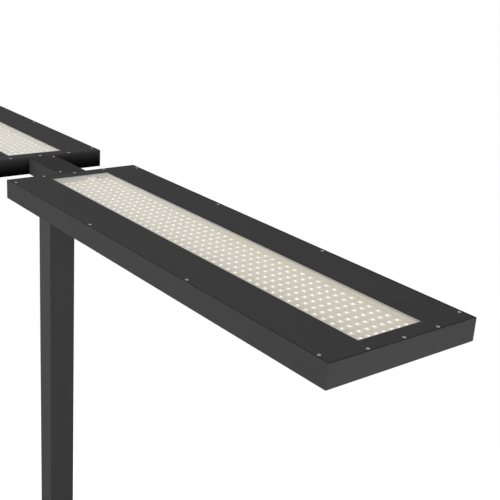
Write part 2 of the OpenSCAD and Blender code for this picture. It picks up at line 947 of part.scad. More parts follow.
module chassis_plate() {
    color("#a7a9ac")
        difference() {
            translate([chassis_inset, 0, chassis_seat])
                side_block(head_length - 2 * chassis_inset, 2 * chassis_half,
                    chassis_thickness);
            for (place = concat(standoff_places, tray_screw_places, driver_screw_places))
                translate([place.x, place.y, chassis_seat - overrun])
                    cylinder(h = chassis_thickness + 2 * overrun, r = screw_hole);
        }
}

module chassis_screws() {
    color("silver")
        for (place = standoff_places)
            translate([place.x, place.y, chassis_top])
                pan_screw(screw_radius, screw_head, screw_head_height, standoff_screw_length);
}

module tray_screws() {
    color("silver")
        for (place = concat(tray_screw_places, driver_screw_places))
            translate([place.x, place.y, chassis_top + tray_thickness])
                pan_screw(screw_radius, screw_head, screw_head_height,
                    tray_thickness + chassis_thickness);
}

module reflector_film() {
    color("#f4f4f2")
        translate([diffuser_end_inset, 0, film_seat])
            side_block(diffuser_length, diffuser_width, film_thickness);
}

module light_guide() {
    color([0.92, 0.96, 0.96, 0.5])
        translate([diffuser_end_inset, 0, guide_seat])
            side_block(diffuser_length - strip_thickness - drop_clearance,
                diffuser_width - 2 * strip_thickness - 2 * drop_clearance, guide_thickness);
}

module edge_strip() {
    color("#f6e9b8")
        translate([diffuser_end_inset, 0, guide_seat])
            difference() {
                side_block(diffuser_length, diffuser_width, guide_thickness);
                translate([-overrun, 0, -overrun])
                    side_block(diffuser_length - strip_thickness + overrun,
                        diffuser_width - 2 * strip_thickness, guide_thickness + 2 * overrun);
            }
}

module diffuser() {
    color("#f2f2ee")
        translate([diffuser_end_inset, 0, head_floor])
            side_block(diffuser_length, diffuser_width, diffuser_thickness);
}

module driver() {
    color("#dcdcd8")
        difference() {
            union() {
                translate([driver_start, driver_y, chassis_top])
                    side_block(driver_length, driver_width, driver_height);
                translate([driver_start - driver_tab, driver_y, chassis_top])
                    side_block(driver_length + 2 * driver_tab, driver_width, tray_thickness);
            }
            for (place = driver_screw_places)
                translate([place.x, place.y, chassis_top - overrun])
                    cylinder(h = tray_thickness + 2 * overrun, r = screw_hole);
        }
}

module head_wiring() {
    lead_y = driver_y + driver_width / 4;
    driver_end = driver_start + driver_length;
    lead_x = driver_end + 2 * driver_tab;
    input_z = chassis_top + driver_height / 2;
    board_lead_z = board_seat + lead_radius;
    outer_y = chassis_half + 2 * lead_radius;
    strip_z = guide_seat + guide_thickness / 2;
    color("#161617") {
        wire([[0, cable_hole_y, cable_hole_z],
            [supply_x, cable_hole_y, cable_hole_z],
            [supply_x, cable_hole_y + 2 * supply_radius, supply_z],
            [supply_x, lead_y, supply_z],
            [driver_start - driver_tab - supply_radius, lead_y, input_z],
            [driver_start, lead_y, input_z]], supply_radius);
        wire([[driver_end, driver_y, input_z],
            [lead_x, driver_y, input_z],
            [lead_x, tray_half + tray_thickness, board_lead_z],
            [lead_x, window_width / 2 + board_lip, board_lead_z]], lead_radius);
        wire([[driver_end, lead_y, input_z],
            [lead_x + 2 * lead_radius, lead_y, input_z],
            [lead_x + 2 * lead_radius, outer_y, chassis_top + lead_radius],
            [lead_x + 2 * lead_radius, outer_y, strip_z],
            [lead_x + 2 * lead_radius, diffuser_width / 2, strip_z]], lead_radius);
    }
}

module head_bolts() {
    color("silver")
        for (place = bolt_places)
            translate([head_wall, place.x, place.y])
                rotate([0, 90, 0])
                    pan_screw(bolt_radius, bolt_head, bolt_head_height, bolt_length);
}

// Places of the two heads
module on_right() {
    translate([arm_start, 0, head_bottom])
        children();
}

module on_left() {
    mirror([1, 0, 0])
        on_right()
            children();
}

base_plate();
base_pads();
base_bolts();
foot_block();
post();
head_block();
cable_gland();
gland_nut();
mains_terminal();
supply_loom();
control_panel();
panel_screws();
control_board();
power_button();
brighter_button();
dimmer_button();
arm_channel();
arm_cover();
arm_cover_screws();
top_bolts();
arm_terminal();
arm_wiring();
sensor_lens();
sensor_board();
on_right() head_housing();  // right_head_housing
on_right() top_cover();  // right_top_cover
on_right() cover_screws();  // right_cover_screws
on_right() pane();  // right_pane
on_right() light_frame();  // right_light_frame
on_right() light_board();  // right_light_board
on_right() lights();  // right_lights
on_right() board_tray();  // right_board_tray
on_right() chassis_plate();  // right_chassis_plate
on_right() chassis_screws();  // right_chassis_screws
on_right() tray_screws();  // right_tray_screws
on_right() reflector_film();  // right_reflector_film
on_right() light_guide();  // right_light_guide
on_right() edge_strip();  // right_edge_strip
on_right() diffuser();  // right_diffuser
on_right() driver();  // right_driver
on_right() head_wiring();  // right_head_wiring
on_right() head_bolts();  // right_head_bolts
on_left() head_housing();  // left_head_housing
on_left() top_cover();  // left_top_cover
on_left() cover_screws();  // left_cover_screws
on_left() pane();  // left_pane
on_left() light_frame();  // left_light_frame
on_left() light_board();  // left_light_board
on_left() lights();  // left_lights
on_left() board_tray();  // left_board_tray
on_left() chassis_plate();  // left_chassis_plate
on_left() chassis_screws();  // left_chassis_screws
on_left() tray_screws();  // left_tray_screws
on_left() reflector_film();  // left_reflector_film
on_left() light_guide();  // left_light_guide
on_left() edge_strip();  // left_edge_strip
on_left() diffuser();  // left_diffuser
on_left() driver();  // left_driver
on_left() head_wiring();  // left_head_wiring
on_left() head_bolts();  // left_head_bolts
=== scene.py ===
# %% [markdown]
# # An office floor lamp with two flat heads
# The lamp stands on a steel base plate. A rectangular post carries a short arm, and the arm
# carries two long flat heads. Each head has a window in its top, where a field of small lights
# shines at the ceiling. The construction arrives finished from the CAD model, and this lesson
# gives it its surfaces, its softened edges, its small visible parts, its light and its camera.

# %% Load the construction
import json
import math

import bmesh
import bpy
from mathutils import Matrix, Vector

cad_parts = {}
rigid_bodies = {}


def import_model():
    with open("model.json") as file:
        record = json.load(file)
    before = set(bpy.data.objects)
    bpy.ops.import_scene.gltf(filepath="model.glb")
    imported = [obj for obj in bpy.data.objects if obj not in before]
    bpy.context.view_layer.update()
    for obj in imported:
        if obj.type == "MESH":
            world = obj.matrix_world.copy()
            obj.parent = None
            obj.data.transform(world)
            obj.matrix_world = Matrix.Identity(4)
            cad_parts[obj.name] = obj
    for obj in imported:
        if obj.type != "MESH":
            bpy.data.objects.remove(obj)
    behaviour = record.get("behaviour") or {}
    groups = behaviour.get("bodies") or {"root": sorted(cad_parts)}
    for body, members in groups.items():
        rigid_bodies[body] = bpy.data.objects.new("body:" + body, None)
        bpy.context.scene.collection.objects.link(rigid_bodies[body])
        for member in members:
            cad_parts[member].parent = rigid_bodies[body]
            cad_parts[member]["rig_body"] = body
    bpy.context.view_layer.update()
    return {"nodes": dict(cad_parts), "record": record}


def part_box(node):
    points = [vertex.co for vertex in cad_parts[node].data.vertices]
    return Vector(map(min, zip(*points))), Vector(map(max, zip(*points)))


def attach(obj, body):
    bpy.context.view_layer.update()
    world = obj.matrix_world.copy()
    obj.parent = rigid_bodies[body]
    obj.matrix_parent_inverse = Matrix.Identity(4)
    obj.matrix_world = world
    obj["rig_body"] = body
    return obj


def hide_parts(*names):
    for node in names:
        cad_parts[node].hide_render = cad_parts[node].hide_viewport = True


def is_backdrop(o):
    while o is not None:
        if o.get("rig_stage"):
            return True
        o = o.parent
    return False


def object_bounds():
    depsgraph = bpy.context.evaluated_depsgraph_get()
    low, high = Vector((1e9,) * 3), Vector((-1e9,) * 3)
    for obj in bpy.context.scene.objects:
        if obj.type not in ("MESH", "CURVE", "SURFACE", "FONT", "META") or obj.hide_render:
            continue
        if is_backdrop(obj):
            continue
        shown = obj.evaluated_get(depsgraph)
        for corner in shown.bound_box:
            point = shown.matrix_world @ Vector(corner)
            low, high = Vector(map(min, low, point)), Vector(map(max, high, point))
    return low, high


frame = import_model()
MM = 0.001
X, Y, Z = range(3)
SIDES = ("right", "left")
slot_of = {part["node"]: part["material_slot"] for part in frame["record"]["subparts"]}

# %% [markdown]
# ## The camera
# The photograph looks down on the right head from in front and beyond its outer end. Every
# straight edge of the heads was used to find where the camera stood, so its place is written
# here as a share of the head's width, measured from the middle of the lamp's top. The camera
# was held with a slight tilt to one side, which the picture shows as a leaning post.

# %% Place the camera
IMAGE_PIXELS = 500
FOCAL_PIXELS = 924.0
SENSOR_WIDTH = 36.0
FARTHEST_VIEW = 200
CAMERA_SHARES = Vector((5.9444, -3.0598, 1.7453))
CAMERA_TURN = math.radians(50.24)
CAMERA_DIP = math.radians(19.42)
CAMERA_TILT = math.radians(4.15)

head_low, head_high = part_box("right_head_housing")
head_width = head_high.y - head_low.y
head_top = head_high.z
lamp_top = Vector((0, 0, head_top))


def camera_axes(turn, dip, tilt):
    """The camera's right, up and backward directions, as the columns of a matrix."""
    back = Vector((math.sin(turn) * math.cos(dip), -math.cos(turn) * math.cos(dip), math.sin(dip)))
    level_right = Vector((0, 0, 1)).cross(back).normalized()
    level_up = back.cross(level_right)
    right = level_right * math.cos(tilt) + level_up * math.sin(tilt)
    up = level_up * math.cos(tilt) - level_right * math.sin(tilt)
    return Matrix((right, up, back)).transposed()


camera_data = bpy.data.cameras.new("camera")
camera_data.sensor_width = SENSOR_WIDTH
camera_data.lens = FOCAL_PIXELS / IMAGE_PIXELS * SENSOR_WIDTH
camera_data.clip_end = FARTHEST_VIEW
camera = bpy.data.objects.new("camera", camera_data)
bpy.context.scene.collection.objects.link(camera)
camera.matrix_world = camera_axes(CAMERA_TURN, CAMERA_DIP, CAMERA_TILT).to_4x4()
camera.location = lamp_top + CAMERA_SHARES * head_width
bpy.context.scene.camera = camera
print("camera at", [round(value, 3) for value in camera.location], "lens", round(camera_data.lens, 2))

# %% [markdown]
# ## Helpers for shader nodes
# The world, a material and a node group are all trees of nodes, so the same helpers can build in
# each of them. An input is a number, a colour or the output of another node, and the helper
# either writes the value or draws the link.

# %% Helpers for shader nodes
def set_input(tree, socket, value):
    """Link an output to a node's input, or write a value into it."""
    if isinstance(value, bpy.types.NodeSocket):
        tree.links.new(value, socket)
    else:
        socket.default_value = value


def add_node(tree, kind, **inputs):
    """A node with its inputs set by name. A space in a name is written as an underline."""
    node = tree.nodes.new(kind)
    for title, value in inputs.items():
        set_input(tree, node.inputs[title.replace("_", " ")], value)
    return node


def reckon(tree, operation, *values):
    """The result of a math node for one or two values."""
    node = tree.nodes.new("ShaderNodeMath")
    node.operation = operation
    for socket, value in zip(node.inputs, values):
        set_input(tree, socket, value)
    return node.outputs[0]


def mix_shaders(tree, share, first, second):
    """A mix of two shaders: the first where the share is zero, the second where it is one."""
    node = tree.nodes.new("ShaderNodeMixShader")
    for socket, value in zip(node.inputs, (share, first, second)):
        set_input(tree, socket, value)
    return node.outputs[0]


print("node helpers ready")

# %% [markdown]
# ## A white room
# A studio photograph of a dark object on white needs two different things from its
# surroundings: a background that is pure white to the camera, and a calm, soft light on the
# object that is not too strong. Light Path tells the rays of the camera, and those that go on
# through glass, from the rays that carry light, so the same world and floor can be white to look
# at and gentle to be lit by. Mirror rays see something between the two, so that smooth coats and
# the clear panes don't glare. The floor still takes the lamp's shadow.

# %% Make the world
WORLD_LIGHT = 0.45
MIRROR_SHARE = 0.6
WHITE = (1, 1, 1, 1)


def rays_that_look(tree):
    """A value that is one for camera and glass rays, less for mirror rays, and zero for light."""
    path = tree.nodes.new("ShaderNodeLightPath").outputs
    mirror = reckon(tree, "MULTIPLY", path["Is Glossy Ray"], MIRROR_SHARE)
    camera_or_mirror = reckon(tree, "MAXIMUM", path["Is Camera Ray"], mirror)
    return reckon(tree, "MAXIMUM", camera_or_mirror, path["Is Transmission Ray"])


world = bpy.data.worlds.new("white room")
world.use_nodes = True
bpy.context.scene.world = world
tree = world.node_tree
level = add_node(tree, "ShaderNodeMapRange", Value=rays_that_look(tree), To_Min=WORLD_LIGHT, To_Max=1)
background = tree.nodes["Background"].inputs
set_input(tree, background["Color"], WHITE)
set_input(tree, background["Strength"], level.outputs["Result"])
print("world light:", WORLD_LIGHT, "to mirror rays:", MIRROR_SHARE)

# %% Make the floor
FLOOR_HALF = 60
FLOOR_COLOUR = (0.55, 0.55, 0.55, 1)
FLOOR_BOUNCE = (0.05, 0.05, 0.05, 1)
FLOOR_LOOK = 0.75

floor_mesh = bpy.data.meshes.new("floor")
corners = [(x * FLOOR_HALF, y * FLOOR_HALF, 0) for x, y in ((-1, -1), (1, -1), (1, 1), (-1, 1))]
floor_mesh.from_pydata(corners, [], [(0, 1, 2, 3)])
floor = bpy.data.objects.new("floor", floor_mesh)
bpy.context.scene.collection.objects.link(floor)
floor_finish = bpy.data.materials.new("pale floor")
floor_finish.use_nodes = True
tree = floor_finish.node_tree
floor_shader = tree.nodes["Principled BSDF"]
floor_look = reckon(tree, "MULTIPLY", rays_that_look(tree), FLOOR_LOOK)
for title, value in (("Base Color", FLOOR_COLOUR), ("Roughness", 1), ("Specular IOR Level", 0),
                     ("Emission Color", WHITE), ("Emission Strength", floor_look)):
    set_input(tree, floor_shader.inputs[title], value)
carries_light = tree.nodes.new("ShaderNodeLightPath").outputs["Is Diffuse Ray"]
dim_floor = add_node(tree, "ShaderNodeBsdfDiffuse", Color=FLOOR_BOUNCE).outputs["BSDF"]
upper_face = mix_shaders(tree, carries_light, floor_shader.outputs["BSDF"], dim_floor)
from_below = tree.nodes.new("ShaderNodeNewGeometry").outputs["Backfacing"]
see_through = tree.nodes.new("ShaderNodeBsdfTransparent").outputs["BSDF"]
set_input(tree, tree.nodes["Material Output"].inputs["Surface"],
          mix_shaders(tree, from_below, upper_face, see_through))
floor_mesh.materials.append(floor_finish)
floor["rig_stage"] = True
print("floor of", 2 * FLOOR_HALF, "m")

# %% [markdown]
# ## Three soft lamps
# The long front of the heads is evenly lit, and the post grows darker downwards, so the front
# lamp is a long strip that hangs close by. The outer end of the right head is as light as the
# front, while the same side of the post is much darker, so the lamp that lights the ends stands
# close too: light falls off with distance, and the post is further away. The third lamp lights
# the back and the far ends, which the photograph doesn't show. A clear pane would mirror a lamp
# above it as a white patch, so the front lamp is hidden from mirror and glass rays, and the
# other two hang lower than the panes.

# %% Place the lamps
FRONT_PLACE = Vector((0.45, -1.5, 0.45))
FRONT_TARGET = Vector((0.45, 0, -0.15))
FRONT_SIZE = (3.0, 0.7)
FRONT_POWER = 23
END_PLACE = Vector((0.7, 0.05, -0.24))
END_SIZE = (0.6, 0.4)
END_POWER = 4.1
BACK_PLACE = Vector((-1.2, 2.2, -0.8))
BACK_TARGET = Vector((-0.2, 0, -0.5))
BACK_SIZE = (2.2, 1.4)
BACK_POWER = 34


def area_lamp(name, place, target, size, power):
    """A flat lamp at a place, facing a target, that the camera doesn't see."""
    data = bpy.data.lights.new(name, "AREA")
    data.shape = "RECTANGLE"
    data.energy = power
    data.size, data.size_y = size
    lamp = bpy.data.objects.new(name, data)
    bpy.context.scene.collection.objects.link(lamp)
    lamp.location = place
    lamp.rotation_euler = (target - place).to_track_quat("-Z", "Y").to_euler()
    lamp.visible_camera = False
    return lamp


head_end = Vector((head_high.x, 0, head_top))
front_light = area_lamp("front light", lamp_top + FRONT_PLACE, lamp_top + FRONT_TARGET,
                        FRONT_SIZE, FRONT_POWER)
front_light.visible_glossy = False
front_light.visible_transmission = False
area_lamp("end light", head_end + END_PLACE, head_end, END_SIZE, END_POWER)
area_lamp("back light", lamp_top + BACK_PLACE, lamp_top + BACK_TARGET, BACK_SIZE, BACK_POWER)
bpy.context.scene.view_settings.view_transform = "Standard"
print("lamps:", [light.name for light in bpy.data.lights])

# %% [markdown]
# ## Surface effects that several finishes share
# A surface is never one even colour. Powder coat has a fine orange-peel skin, drawn metal has
# streaks, and moulded plastic has a pebbled grain. Each of these is built once as a node group
# with named inputs, so that every finish can place it with its own sizes. A group gives out
# colours and numbers only, and the shader itself stays in the material.

# %% Helpers for node groups
COLOUR, NUMBER = "NodeSocketColor", "NodeSocketFloat"
GREY = (0.5, 0.5, 0.5, 1)
NOISE_MIDDLE = 0.5
FINE_DETAIL, CLOUD_DETAIL = 3, 4


def new_group(name, colours, numbers, more_colours=()):
    """A node group with colour inputs, and number inputs with their values: (tree, given, out)."""
    tree = bpy.data.node_groups.new(name, "ShaderNodeTree")
    inputs = [(title, COLOUR, GREY) for title in colours]
    inputs += [(title, NUMBER, value) for title, value in numbers.items()]
    for title, kind, value in inputs:
        socket = tree.interface.new_socket(name=title, in_out="INPUT", socket_type=kind)
        socket.default_value = value
    outputs = [("Colour", COLOUR), ("Roughness", NUMBER), ("Height", NUMBER)]
    for title, kind in outputs + [(title, COLOUR) for title in more_colours]:
        tree.interface.new_socket(name=title, in_out="OUTPUT", socket_type=kind)
    print("group:", name)
    return tree, tree.nodes.new("NodeGroupInput").outputs, tree.nodes.new("NodeGroupOutput").inputs


def surface_place(tree):
    """Where a point of the surface lies, in metres in the lamp's frame."""
    return tree.nodes.new("ShaderNodeTexCoord").outputs["Object"]


def axes_of(tree, vector):
    """The X, Y and Z of a vector."""
    return add_node(tree, "ShaderNodeSeparateXYZ", Vector=vector).outputs


def noise_of(tree, vector, per_metre, detail):
    """A noise texture, about one half in the middle."""
    return add_node(tree, "ShaderNodeTexNoise", Vector=vector, Scale=per_metre, Detail=detail).outputs["Fac"]


def colours_between(tree, share, first, second):
    """The first colour where the share is zero, the second where it is one."""
    node = tree.nodes.new("ShaderNodeMix")
    node.data_type = "RGBA"
    for title, value in (("Factor", share), ("A", first), ("B", second)):
        set_input(tree, node.inputs[title], value)
    return node.outputs["Result"]


def give_out(tree, given, out, colour, noise, spread, height=None):
    """A group's colour, its roughness, which a noise raises and lowers, and its height."""
    change = reckon(tree, "MULTIPLY", reckon(tree, "SUBTRACT", noise, NOISE_MIDDLE), spread)
    set_input(tree, out["Colour"], colour)
    set_input(tree, out["Roughness"], reckon(tree, "ADD", given["Roughness"], change))
    set_input(tree, out["Height"], noise if height is None else height)
    return tree


# %% [markdown]
# ### Powder coat
# Powder is sprayed on dry and baked, and it flows into a skin with a fine ripple. Two noises
# make it: a fine one for the ripple and its roughness, and a broad one for the faint clouds
# that show where the coat is thicker.

# %% Build the powder coat group
GRAIN_SHARE = 0.35


def powder_group():
    """The colour, roughness and ripple of a baked powder coat."""
    tree, given, out = new_group("powder coat", ["Colour", "Cloud Colour"], {
        "Grain per Metre": 900, "Clouds per Metre": 4, "Roughness": 0.5, "Roughness Spread": 0.1})
    place = surface_place(tree)
    grain = noise_of(tree, place, given["Grain per Metre"], FINE_DETAIL)
    clouds = noise_of(tree, place, given["Clouds per Metre"], CLOUD_DETAIL)
    speckle = reckon(tree, "ADD", reckon(tree, "MULTIPLY", grain, GRAIN_SHARE),
                     reckon(tree, "MULTIPLY", clouds, 1 - GRAIN_SHARE))
    colour = colours_between(tree, speckle, given["Colour"], given["Cloud Colour"])
    return give_out(tree, given, out, colour, grain, given["Roughness Spread"])


POWDER = powder_group()

# %% [markdown]
# ### Drawn and brushed metal
# Rolling, drawing and turning leave fine parallel lines. A noise that is stretched a hundred
# times along one axis gives the same lines, and it drives both the colour and the roughness.

# %% Build the brushed metal group
STREAK_SHARES = (0.01, 1, 1)


def brushed_group():
    """The colour, roughness and lines of worked metal."""
    tree, given, out = new_group("brushed metal", ["Colour", "Streak Colour"], {
        "Lines per Metre": 3000, "Roughness": 0.3, "Roughness Spread": 0.15})
    stretch = add_node(tree, "ShaderNodeMapping", Vector=surface_place(tree), Scale=STREAK_SHARES)
    lines = noise_of(tree, stretch.outputs["Vector"], given["Lines per Metre"], CLOUD_DETAIL)
    colour = colours_between(tree, lines, given["Colour"], given["Streak Colour"])
    return give_out(tree, given, out, colour, lines, given["Roughness Spread"])


BRUSHED = brushed_group()

# %% [markdown]
# ### Moulded plastic and rubber
# A steel mould is etched so that its plastic comes out with a fine pebbled skin. Cells of a
# Voronoi texture are the pebbles, and a little noise breaks up their tone.

# %% Build the moulded skin group
TONES_PER_METRE = 60.0


def moulded_group():
    """The colour, roughness and pebbles of a moulded skin."""
    tree, given, out = new_group("moulded skin", ["Colour", "Shade Colour"], {
        "Pebbles per Metre": 1500, "Roughness": 0.5, "Roughness Spread": 0.1})
    place = surface_place(tree)
    cells = add_node(tree, "ShaderNodeTexVoronoi", Vector=place, Scale=given["Pebbles per Metre"])
    pebbles = cells.outputs["Distance"]
    tone = noise_of(tree, place, TONES_PER_METRE, CLOUD_DETAIL)
    share = reckon(tree, "MULTIPLY", pebbles, tone)
    colour = colours_between(tree, share, given["Colour"], given["Shade Colour"])
    return give_out(tree, given, out, colour, tone, given["Roughness Spread"], pebbles)


MOULDED = moulded_group()

# %% [markdown]
# ### A band of painted shade with dark marks
# The photograph shows a dark, hatched band right under the rim of the window. Its darkness is
# painted shade, where the rim shades the wall, and fine dark marks cross it every few millimetres.
# The marks follow the edge, so the group picks the direction to count in from the face's own normal,
# and a mask on the height ends the band. On the short ends the painted shade reaches deeper.

# %% Build the painted shade band group
END_SLOPE = 0.5
WEAR_PER_METRE = 900.0
LEAST_MARK = 0.3
EDGE_SPREAD = 0.1


def painted_shade_band_group():
    """The colour, roughness and wear of a wall with a band of painted shade and dark marks along its top."""
    tree, given, out = new_group("painted shade band", ["Colour", "Band Colour", "Mark Colour"], {
        "Band Bottom": 0, "Deeper at Ends": 0, "Mark Pitch": 0.004, "Mark Share": 0.45, "Roughness": 0.5})
    place = surface_place(tree)
    axes = axes_of(tree, place)
    facing = axes_of(tree, tree.nodes.new("ShaderNodeNewGeometry").outputs["True Normal"])
    is_end = reckon(tree, "GREATER_THAN", reckon(tree, "ABSOLUTE", facing["X"]), END_SLOPE)
    on_side = reckon(tree, "SUBTRACT", 1, is_end)
    along = reckon(tree, "ADD", reckon(tree, "MULTIPLY", is_end, axes["Y"]),
                   reckon(tree, "MULTIPLY", on_side, axes["X"]))
    count = reckon(tree, "DIVIDE", along, given["Mark Pitch"])
    mark = reckon(tree, "LESS_THAN", reckon(tree, "FRACT", count), given["Mark Share"])
    worn = noise_of(tree, place, WEAR_PER_METRE, FINE_DETAIL)
    deeper = reckon(tree, "MULTIPLY", is_end, given["Deeper at Ends"])
    bottom = reckon(tree, "SUBTRACT", given["Band Bottom"], deeper)
    in_band = reckon(tree, "GREATER_THAN", axes["Z"], bottom)
    marked = reckon(tree, "MULTIPLY", reckon(tree, "MULTIPLY", mark, in_band),
                    reckon(tree, "ADD", worn, LEAST_MARK))
    plain = colours_between(tree, in_band, given["Colour"], given["Band Colour"])
    colour = colours_between(tree, marked, plain, given["Mark Colour"])
    return give_out(tree, given, out, colour, worn, EDGE_SPREAD)


PAINTED_SHADE_BAND = painted_shade_band_group()

# %% [markdown]
# ### Painted shade that darkens downwards
# The two heads end a hand's width from each other, and hardly any light gets between them. The
# photograph shows those ends dark grey at the top and black at the bottom, so this group paints
# that shade, fading from one colour to the other between two heights.

# %% Build the painted shade fade group
PAINTED_SHADE_GRAIN = 1400.0
PAINTED_SHADE_SPREAD = 0.14


def painted_shade_fade_group():
    """The colour, roughness and grain of a painted shade that fades between two heights."""
    tree, given, out = new_group("painted shade fade", ["Top Colour", "Bottom Colour"], {
        "Top": 1, "Bottom": 0, "Roughness": 0.7})
    place = surface_place(tree)
    above = reckon(tree, "SUBTRACT", axes_of(tree, place)["Z"], given["Bottom"])
    level = reckon(tree, "DIVIDE", above, reckon(tree, "SUBTRACT", given["Top"], given["Bottom"]))
    fade = reckon(tree, "POWER", reckon(tree, "MAXIMUM", level, 0), 2)
    colour = colours_between(tree, fade, given["Bottom Colour"], given["Top Colour"])
    grain = noise_of(tree, place, PAINTED_SHADE_GRAIN, FINE_DETAIL)
    return give_out(tree, given, out, colour, grain, PAINTED_SHADE_SPREAD)


PAINTED_SHADE_FADE = painted_shade_fade_group()

# %% [markdown]
# ### Painted glow round the lights
# Each light also lights the white lacquer round its own foot, and this group paints that light on
# the board as a glow. The lights form a lattice, so the distance to the nearest one needs no list:
# the remainder of the place divided by the pitch is enough, and counting x outwards from the lamp's middle
# makes one group serve both heads.

# %% Build the glow group
BLACK = (0, 0, 0, 1)
LACQUER_PER_METRE = 400.0
LACQUER_SPREAD = 0.1


def gap_squared(tree, along, first, pitch):
    """The square of the distance to the nearest light along one axis."""
    half = reckon(tree, "MULTIPLY", pitch, 0.5)
    moved = reckon(tree, "ADD", reckon(tree, "SUBTRACT", along, first), half)
    gap = reckon(tree, "SUBTRACT", reckon(tree, "FLOORED_MODULO", moved, pitch), half)
    return reckon(tree, "MULTIPLY", gap, gap)


def painted_glow_group():
    """The colour, roughness and skin of the board's lacquer, and the painted glow of its lights."""
    tree, given, out = new_group("painted glow round lights", ["Colour", "Shade Colour", "Glow Colour"], {
        "First X": 0, "First Y": 0, "Pitch X": 0.02, "Pitch Y": 0.02, "Reach": 0.003, "Roughness": 0.4},
        ["Glow"])
    place = surface_place(tree)
    axes = axes_of(tree, place)
    outwards = reckon(tree, "ABSOLUTE", axes["X"])
    squares = reckon(tree, "ADD", gap_squared(tree, outwards, given["First X"], given["Pitch X"]),
                     gap_squared(tree, axes["Y"], given["First Y"], given["Pitch Y"]))
    share = reckon(tree, "DIVIDE", squares, reckon(tree, "MULTIPLY", given["Reach"], given["Reach"]))
    fade = reckon(tree, "EXPONENT", reckon(tree, "MULTIPLY", share, -1))
    set_input(tree, out["Glow"], colours_between(tree, fade, BLACK, given["Glow Colour"]))
    lacquer = noise_of(tree, place, LACQUER_PER_METRE, FINE_DETAIL)
    colour = colours_between(tree, lacquer, given["Colour"], given["Shade Colour"])
    return give_out(tree, given, out, colour, lacquer, LACQUER_SPREAD)


PAINTED_GLOW = painted_glow_group()

# %% [markdown]
# ## Reading the construction
# The construction's meshes come in as triangles with doubled corners. Merging the corners and
# joining flat neighbours gives back the faces of the real part, and following the edges from
# corner to corner gives the separate solids of a node, such as its single screws.

# %% Helpers that read the construction
MERGE = 1e-6
FLAT_ANGLE = math.radians(1)


def node_shape(node):
    """A bmesh of a construction node with its corners merged."""
    shape = bmesh.new()
    shape.from_mesh(frame["nodes"][node].data)
    bmesh.ops.remove_doubles(shape, verts=shape.verts, dist=MERGE)
    return shape


def solid_boxes(node):
    """The lowest and highest corner of each separate solid of a node."""
    shape = node_shape(node)
    seen = set()
    boxes = []
    for first in shape.verts:
        if first in seen:
            continue
        seen.add(first)
        waiting = [first]
        places = []
        while waiting:
            vert = waiting.pop()
            places.append(vert.co.copy())
            for edge in vert.link_edges:
                other = edge.other_vert(vert)
                if other not in seen:
                    seen.add(other)
                    waiting.append(other)
        low = Vector([min(place[axis] for place in places) for axis in (X, Y, Z)])
        high = Vector([max(place[axis] for place in places) for axis in (X, Y, Z)])
        boxes.append((low, high))
    shape.free()
    return boxes


def middle_at(low, high, axis, level):
    """The middle of a box, moved along one axis to a level."""
    place = (low + high) / 2
    place[axis] = level
    return place


def flat_box(node):
    """A node's outline as (x0, x1, y0, y1)."""
    low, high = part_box(node)
    return (low.x, high.x, low.y, high.y)


print("cover screws of a head:", len(solid_boxes("right_cover_screws")))

# %% [markdown]
# ## The finishes
# Each finish places one of the groups with its own colours and sizes, and adds a Bump node so
# that the grain also catches the light. What is the same all over a surface, such as how
# strongly it mirrors, is set on the shader itself.

# %% Helpers for finishes
finishes = {}


def shade(red, green, blue):
    """A colour with full cover."""
    return (red, green, blue, 1)


def grey(level):
    """A neutral grey with full cover."""
    return shade(level, level, level)


def make_finish(slot, group, given, bump_height, **settings):
    """A material for one slot: a surface group, its inputs, the bump in metres and shader settings."""
    material = bpy.data.materials.new(slot)
    material.use_nodes = True
    tree = material.node_tree
    shader = tree.nodes["Principled BSDF"].inputs
    effect = tree.nodes.new("ShaderNodeGroup")
    effect.node_tree = group
    for title, value in given.items():
        effect.inputs[title].default_value = value
    bump = add_node(tree, "ShaderNodeBump", Strength=1, Distance=bump_height, Height=effect.outputs["Height"])
    set_input(tree, shader["Base Color"], effect.outputs["Colour"])
    set_input(tree, shader["Roughness"], effect.outputs["Roughness"])
    set_input(tree, shader["Normal"], bump.outputs["Normal"])
    if "Glow" in effect.outputs:
        set_input(tree, shader["Emission Color"], effect.outputs["Glow"])
    for title, value in settings.items():
        shader[title.replace("_", " ")].default_value = value
    finishes[slot] = material
    print("finish:", slot)
    return material


# %% [markdown]
# ### The coats of the lamp
# Heads, arm, post and base wear the same anthracite powder coat. The top covers are pressed
# sheets a shade darker than the housings, the arm's lid is darker
# still, and the post is a shade lighter. The base plate has a coarser grain, because it is stood
# on and knocked by shoes.

# %% Powder coats
COAT = {"Grain per Metre": 1400, "Clouds per Metre": 5, "Roughness": 0.7, "Roughness Spread": 0.14}
COAT_BUMP = 0.04 * MM
BASE_BUMP = 0.1 * MM
for slot, tone, cloud, mirror in (("head_coat", 0.0545, 0.062, 0.1), ("cover_coat", 0.047, 0.053, 0.06),
                                  ("lid_coat", 0.027, 0.031, 0.06), ("post_coat", 0.071, 0.081, 0.15)):
    make_finish(slot, POWDER, {**COAT, "Colour": grey(tone), "Cloud Colour": grey(cloud)},
                COAT_BUMP, Specular_IOR_Level=mirror)
make_finish("base_coat", POWDER, {**COAT, "Grain per Metre": 700, "Colour": shade(0.044, 0.044, 0.045),
            "Cloud Colour": shade(0.054, 0.054, 0.055)}, BASE_BUMP, Specular_IOR_Level=0.15)
# Painted shade for the inner ends of the heads: dark grey at the top, fading to black at the bottom.
make_finish("painted_shade_end_coat", PAINTED_SHADE_FADE, {"Top Colour": grey(0.075), "Bottom Colour": grey(0.0), "Top": head_high.z,
            "Bottom": head_low.z}, COAT_BUMP, Specular_IOR_Level=0.03)

# %% [markdown]
# ### Metals, plastics and rubber
# Each metal has its own pair of tones and its own closeness of lines. Each plastic has a tone, a
# shade between its pebbles, a roughness and a height of skin, from a polished mould to the coarse
# prisms of the opal lens. The near-black strip of painted shade round the covers hardly mirrors at
# all, and the opal panels hardly either, or they would turn white wherever the eye meets them at a low angle.

